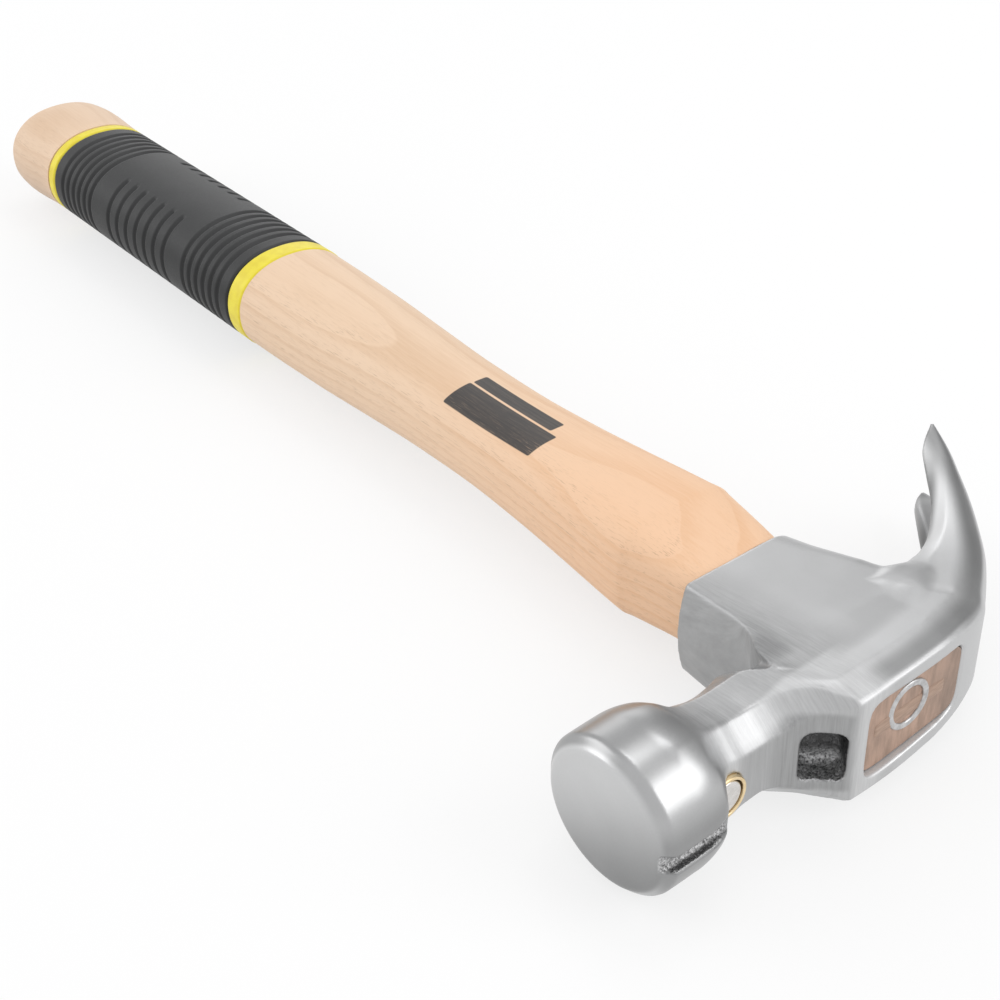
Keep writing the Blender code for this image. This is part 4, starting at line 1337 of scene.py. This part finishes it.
RING_CENTRE = (-0.7, 1.3)
RING_RADIUS = 5.1
RING_WALL = 1.35
RING_DEPTH = 9.0
RING_PROUD = 0.45
RING_LIP = 0.4
BUSH_INNER = MAGNET_RADIUS + GAP
BUSH_PROUD = 0.2
BUSH_LIP = 0.25
MAGNET_LIP = 0.35
MAGNET_BOTTOM_Y = MAGNET_TOP_Y + MAGNET_DEPTH
ring_wedge = turned(
    "ring_wedge_steel",
    ring_profile(
        RING_RADIUS - RING_WALL, RING_RADIUS,
        TENON_TOP_Y - RING_PROUD, TENON_TOP_Y + RING_DEPTH, RING_LIP),
    RING_CENTRE, handle_to_cad)
bush = turned(
    "magnet_bush",
    ring_profile(
        BUSH_INNER, BUSH_INNER + MAGNET_RING_WALL,
        MAGNET_TOP_Y - BUSH_PROUD, MAGNET_BOTTOM_Y, BUSH_LIP),
    (MAGNET_X, GROOVE_Z), head_to_cad)
magnet = turned(
    "magnet_disc",
    [(0.0, MAGNET_TOP_Y), *outer_lip(MAGNET_RADIUS, MAGNET_TOP_Y, MAGNET_BOTTOM_Y, MAGNET_LIP),
     (0.0, MAGNET_BOTTOM_Y)],
    (MAGNET_X, GROOVE_Z), head_to_cad)
print("round pieces:", ring_wedge.name, bush.name, magnet.name)

# %% [markdown]
# The wooden wedge is a flat slip that thins towards its tip. Three loops give its shape,
# and two of them lie close together at the sawn end, where they make a soft edge. The
# loft that made the handle joins them.

# %% Wooden wedge
WEDGE_HALF_LENGTH = 9.2
WEDGE_TOP_HALF = 1.5
WEDGE_TIP_HALF = 0.45
WEDGE_DEPTH = 24.0
WEDGE_PROUD = 0.18
WEDGE_POWER = 9.0
# Depth below the tenon's end, half thickness, and how much less that loop is for a soft edge
WEDGE_LOOPS = (
    (-WEDGE_PROUD, WEDGE_TOP_HALF, 0.25),
    (-WEDGE_PROUD + 0.15, WEDGE_TOP_HALF, 0.0),
    (WEDGE_DEPTH, WEDGE_TIP_HALF, 0.0),
)


def wedge_loops():
    """From the sawn upper end down to the tip, with softened corners."""
    loops = []
    for depth, half, less in WEDGE_LOOPS:
        loop = oval(TENON_TOP_Y + depth, 0.0, WEDGE_HALF_LENGTH - less, half - less, WEDGE_POWER)
        loop[:, 1] += loop[:, 0] * math.tan(HANG)
        loops.append(loop)
    return loops


wooden_wedge = skin("wedge_wood_piece", wedge_loops())
print("wedge faces:", len(wooden_wedge.data.polygons))

# %% [markdown]
# Ring, bush and magnet differ only in colour and shine, so one bare metal with cloudy
# tarnish serves all three. The wedge's wood is near the tenon's end grain in tone, since
# both have darkened together.

# %% Finishes of the small pieces
def plain_metal(name, colour, dull, rough):
    """Bare metal with cloudy tarnish and fine wear."""
    made, tree, shader = new_finish(name)
    place = in_millimetres(tree)
    cloud = noise(tree, place, 0.9, 4.0, 0.6)
    fine = noise(tree, place, 5.0, 2.0)
    tarnish = mix_colours(tree, cloud.between(0.35, 0.75), colour, dull)
    plug(tree, shader.inputs["Base Color"], tarnish)
    plug(tree, shader.inputs["Roughness"], rough + (cloud - 0.5) * 0.2 + (fine - 0.5) * 0.1)
    plug(tree, shader.inputs["Metallic"], 1.0)
    plug(tree, shader.inputs["Normal"], bump(tree, fine, 0.15, 0.0001))
    return made


WEDGE_PALE = (0.41, 0.28, 0.21, 1.0)
WEDGE_DEEP = (0.31, 0.21, 0.155, 1.0)


def wedge_finish():
    """Wood of the wedge, with its fibres along the eye."""
    made, tree, shader = new_finish("wedge_wood")
    fibre = stretched(tree, in_millimetres(tree), (0.35, 1.0, 3.0), 4.0, 0.6)
    colour = mix_colours(tree, fibre.between(0.3, 0.7), WEDGE_PALE, WEDGE_DEEP)
    plug(tree, shader.inputs["Base Color"], colour)
    plug(tree, shader.inputs["Roughness"], 0.6 + (fibre - 0.5) * 0.2)
    plug(tree, shader.inputs["Normal"], bump(tree, fibre, 0.3, 0.0002))
    return made


SMALL_PIECES = (
    (ring_wedge, "ring_wedge", "wedge_steel",
     plain_metal("wedge_steel", grey(0.6), grey(0.4), 0.38)),
    (bush, "magnet_ring", "ring_brass",
     plain_metal("ring_brass", (0.85, 0.68, 0.42, 1.0), (0.72, 0.55, 0.32, 1.0), 0.34)),
    (magnet, "magnet", "magnet_metal",
     plain_metal("magnet_metal", (0.72, 0.70, 0.68, 1.0), (0.6, 0.58, 0.56, 1.0), 0.3)),
    (wooden_wedge, "wooden_wedge", "wedge_wood", wedge_finish()),
)
for piece, node, slot_name, finish in SMALL_PIECES:
    piece.data.materials.append(finish)
    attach(piece, "root")
    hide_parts(node)
print("small pieces:", [row[1] for row in SMALL_PIECES])

# %% [markdown]
# ## The grip
#
# The grip is a thin rubber sleeve with a yellow band at each end. Rings run round both
# ends, and seven short arcs are pressed into each narrow side between them. All of that
# follows a rule, so Geometry Nodes make it: a grid is wrapped round the handle, and a sum
# of groove shapes pushes it in. The same tree makes the bands, with the groove depth at
# zero. The result is turned into a plain mesh, so that nothing live is left on it.

# %% Grooves
# Rows of grooves: y of the first, their count and their pitch
FRONT_RINGS = (209.0, 6, 3.53)
REAR_RINGS = (278.9, 6, 3.38)
ARCS = (237.2, 7, 5.1)
# Where an arc ends towards the top, in degrees from it
ARC_END = (26.5, 30.5)
GROOVE_FLAT = 0.15
GROOVE_HALF_WIDTH = 1.05
ROW_END_STEP = 0.01


def groove_row(y, first, count, pitch):
    """1 in the middle of each groove of an evenly spaced row, and 0 between them."""
    spot = (y - first) / pitch + 0.5
    phase = (spot - spot.math("FLOOR") - 0.5).math("ABSOLUTE") * pitch
    low, high = first - pitch / 2, first + (count - 0.5) * pitch
    inside = y.zone((low, low + ROW_END_STEP), (high - ROW_END_STEP, high))
    return phase.under(GROOVE_FLAT, GROOVE_HALF_WIDTH) * inside


print("grooves:", FRONT_RINGS[1], "rings,", ARCS[1], "arcs,", REAR_RINGS[1], "rings")

# %% [markdown]
# The tree makes a flat grid and gives every point of it a place round the handle. Along
# the grid the skin starts inside, steps out, runs to the end, steps in and runs back, so
# that one grid makes a closed ring with a wall.

# %% A tree for sleeve and bands
EDGE_RUN = 0.7
EDGE_DROP = 0.45
# The share of the grid's length that turns in to the handle at each end
LEAD = 0.02
GRID_AROUND = 181
MERGE_MM = 0.01
GRIP_INPUTS = (
    ("Start", "NodeSocketFloat"), ("End", "NodeSocketFloat"), ("Rows", "NodeSocketInt"),
    ("Groove depth", "NodeSocketFloat"), ("Wall", "NodeSocketFloat"),
    ("Finish", "NodeSocketMaterial"),
)


def new_tree(name, inputs):
    """An empty geometry tree with these inputs, and their sockets by name."""
    tree = bpy.data.node_groups.new(name, "GeometryNodeTree")
    tree.interface.new_socket("Geometry", in_out="OUTPUT", socket_type="NodeSocketGeometry")
    for label, kind in inputs:
        tree.interface.new_socket(label, in_out="INPUT", socket_type=kind)
    entry = tree.nodes.new("NodeGroupInput")
    return tree, {label: Sock(tree, entry.outputs[label]) for label, _ in inputs}


def clamped(value):
    return value.math("MAXIMUM", 0.0).math("MINIMUM", 1.0)


def grip_tree():
    """A grid wrapped round the handle, pushed in by the grooves, and closed on its inside."""
    tree, given = new_tree("grip_ring", GRIP_INPUTS)
    grid = make_node(
        tree, "GeometryNodeMeshGrid", None,
        Size_X=1.0, Size_Y=1.0, Vertices_X=given["Rows"], Vertices_Y=GRID_AROUND)
    u, v, _ = split(tree, make_node(tree, "GeometryNodeInputPosition"))
    u = u + 0.5
    turn = (v + 0.5) * (2 * math.pi)
    length = given["End"] - given["Start"]
    forth = clamped((u - LEAD) / (1 - 3 * LEAD))
    back = ((u - (1 - LEAD)) / LEAD).math("MAXIMUM", 0.0)
    y = given["Start"] + length * (forth - back)
    before = 1 - u.math("GREATER_THAN", LEAD * 0.6)
    hidden = before.math("MAXIMUM", u.math("GREATER_THAN", 1 - 1.6 * LEAD))
    from_end = (y - given["Start"]).math("MINIMUM", given["End"] - y)
    edge = 1 - clamped(from_end / EDGE_RUN)
    across, up = turn.math("SINE"), turn.math("COSINE")
    from_top = across.math("ABSOLUTE").math("ARCSINE") * math.degrees(1)
    arcs = groove_row(y, *ARCS) * from_top.between(*ARC_END)
    rings = groove_row(y, *FRONT_RINGS) + groove_row(y, *REAR_RINGS)
    sunk = (rings + arcs) * given["Groove depth"] + edge * edge * EDGE_DROP
    sunk = sunk * (1 - hidden) + hidden * given["Wall"]
    x, z = (
        way.math("SIGN") * way.math("ABSOLUTE") ** (2 / GRIP_POWER) * (half - sunk)
        for way, half in zip((across, up), grip_outer(y)))
    spots = [(value + origin) * MM for value, origin in zip((x, y, z), FRAME_ORIGIN)]
    spot = make_node(tree, "ShaderNodeCombineXYZ", None, X=spots[0], Y=spots[1], Z=spots[2])
    shaped = make_node(tree, "GeometryNodeSetPosition", None, Geometry=grid, Position=spot)
    closed = make_node(
        tree, "GeometryNodeMergeByDistance", None, Geometry=shaped, Distance=MERGE_MM * MM)
    smooth = make_node(tree, "GeometryNodeSetShadeSmooth", None, Geometry=closed)
    real = make_node(tree, "GeometryNodeRealizeInstances", None, Geometry=smooth)
    done = make_node(
        tree, "GeometryNodeSetMaterial", None, Geometry=real, Material=given["Finish"])
    leave = tree.nodes.new("NodeGroupOutput")
    plug(tree, leave.inputs[0], done)
    return tree


ring_tree = grip_tree()
print("grip tree:", len(ring_tree.nodes), "nodes")

# %% [markdown]
# A tree is run by a modifier on an object. Its inputs are set by their identifiers before
# the object is first evaluated, and the result is copied into a mesh of its own.

# %% Running the tree
def grown(name, tree, values):
    """Run a tree once with these inputs, and keep its result as a plain mesh object."""
    holder = put_in_scene(name + "_source", bpy.data.meshes.new(name + "_source"))
    change = holder.modifiers.new("grow", "NODES")
    change.node_group = tree
    for item in tree.interface.items_tree:
        if item.in_out == "INPUT":
            change[item.identifier] = values[item.name]
    graph = bpy.context.evaluated_depsgraph_get()
    mesh = bpy.data.meshes.new_from_object(holder.evaluated_get(graph))
    bpy.data.objects.remove(holder, do_unlink=True)
    face_outwards(mesh)
    mesh.name = name
    return put_in_scene(name, mesh)


print("inputs:", [label for label, _ in GRIP_INPUTS])

# %% [markdown]
# Moulded rubber is dark and matte, and its upper side is painted lighter, a painted sheen
# of the light from above. The bands are the same kind of moulding in yellow. Fine noise
# gives both their grain, as colour and as bump.

# %% Rubber and band finishes
RUBBER_DARK = (0.012, 0.0125, 0.013, 1.0)
RUBBER_PAINTED_SHEEN = (0.052, 0.053, 0.054, 1.0)
RUBBER_SPECULAR = 0.35
SHEEN_FROM_Z = FRAME_ORIGIN[2] + 3.0
SHEEN_TO_Z = FRAME_ORIGIN[2] + 13.0
YELLOW_PALE = (0.79, 0.68, 0.04, 1.0)
YELLOW_DEEP = (0.72, 0.59, 0.03, 1.0)


def rubber_finish():
    """Matte moulded rubber: fine grain, and a painted sheen on the upper side."""
    made, tree, shader = new_finish("grip_dark")
    place = in_millimetres(tree)
    grain = noise(tree, place, 3.2, 3.0, 0.6)
    bloom = noise(tree, place, 0.12, 3.0)
    # Painted sheen of the light from above: the upper side is lighter.
    painted_sheen = split(tree, place)[2].between(SHEEN_FROM_Z, SHEEN_TO_Z)
    shade = (bloom - 0.5) * 0.25 + (grain - 0.5) * 0.2 + painted_sheen * 0.5 + 0.06
    colour = mix_colours(tree, shade.math("MAXIMUM", 0.0), RUBBER_DARK, RUBBER_PAINTED_SHEEN)
    plug(tree, shader.inputs["Base Color"], colour)
    plug(tree, shader.inputs["Roughness"], 0.50 + (grain - 0.5) * 0.25)
    plug(tree, shader.inputs["Specular IOR Level"], RUBBER_SPECULAR)
    plug(tree, shader.inputs["Normal"], bump(tree, grain, 0.2, 0.0002))
    return made


def band_finish():
    """Yellow moulded band, faintly mottled."""
    made, tree, shader = new_finish("band_yellow")
    place = in_millimetres(tree)
    cloud = noise(tree, place, 0.35, 3.0)
    fine = noise(tree, place, 4.0, 2.0)
    colour = mix_colours(tree, cloud.between(0.3, 0.7), YELLOW_PALE, YELLOW_DEEP)
    plug(tree, shader.inputs["Base Color"], colour)
    plug(tree, shader.inputs["Roughness"], 0.45 + (fine - 0.5) * 0.2)
    plug(tree, shader.inputs["Normal"], bump(tree, fine, 0.12, 0.0001))
    return made


print("finishes of the grip ready")

# %% [markdown]
# The tree runs three times: with grooves for the sleeve, and without for the two bands. A
# narrow gap is left between the pieces, as in the CAD model.

# %% Sleeve and bands
HALF_GAP = GAP / 2
GROOVE_DEPTH = 0.62
SLEEVE_ROWS = 321
BAND_ROWS = 101
yellow = band_finish()
band_start, sleeve_start, sleeve_end, band_end = GRIP_EDGES
# Name, start, end, rows, groove depth and finish, then the replaced node and the slot
GRIP_PIECES = (
    ("grip_rubber", sleeve_start + HALF_GAP, sleeve_end - HALF_GAP, SLEEVE_ROWS, GROOVE_DEPTH,
     rubber_finish(), "grip_sleeve", "grip_dark"),
    ("band_front", band_start, sleeve_start - HALF_GAP, BAND_ROWS, 0.0,
     yellow, "grip_front_band", "band_yellow"),
    ("band_rear", sleeve_end + HALF_GAP, band_end, BAND_ROWS, 0.0,
     yellow, "grip_rear_band", "band_yellow"),
)
for name, start, end, rows, groove, finish, node, slot_name in GRIP_PIECES:
    piece = grown(name, ring_tree, {
        "Start": start, "End": end, "Rows": rows, "Groove depth": groove,
        "Wall": GRIP_WALL, "Finish": finish})
    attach(piece, "root")
    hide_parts(node)
    print(name, len(piece.data.polygons), "faces")
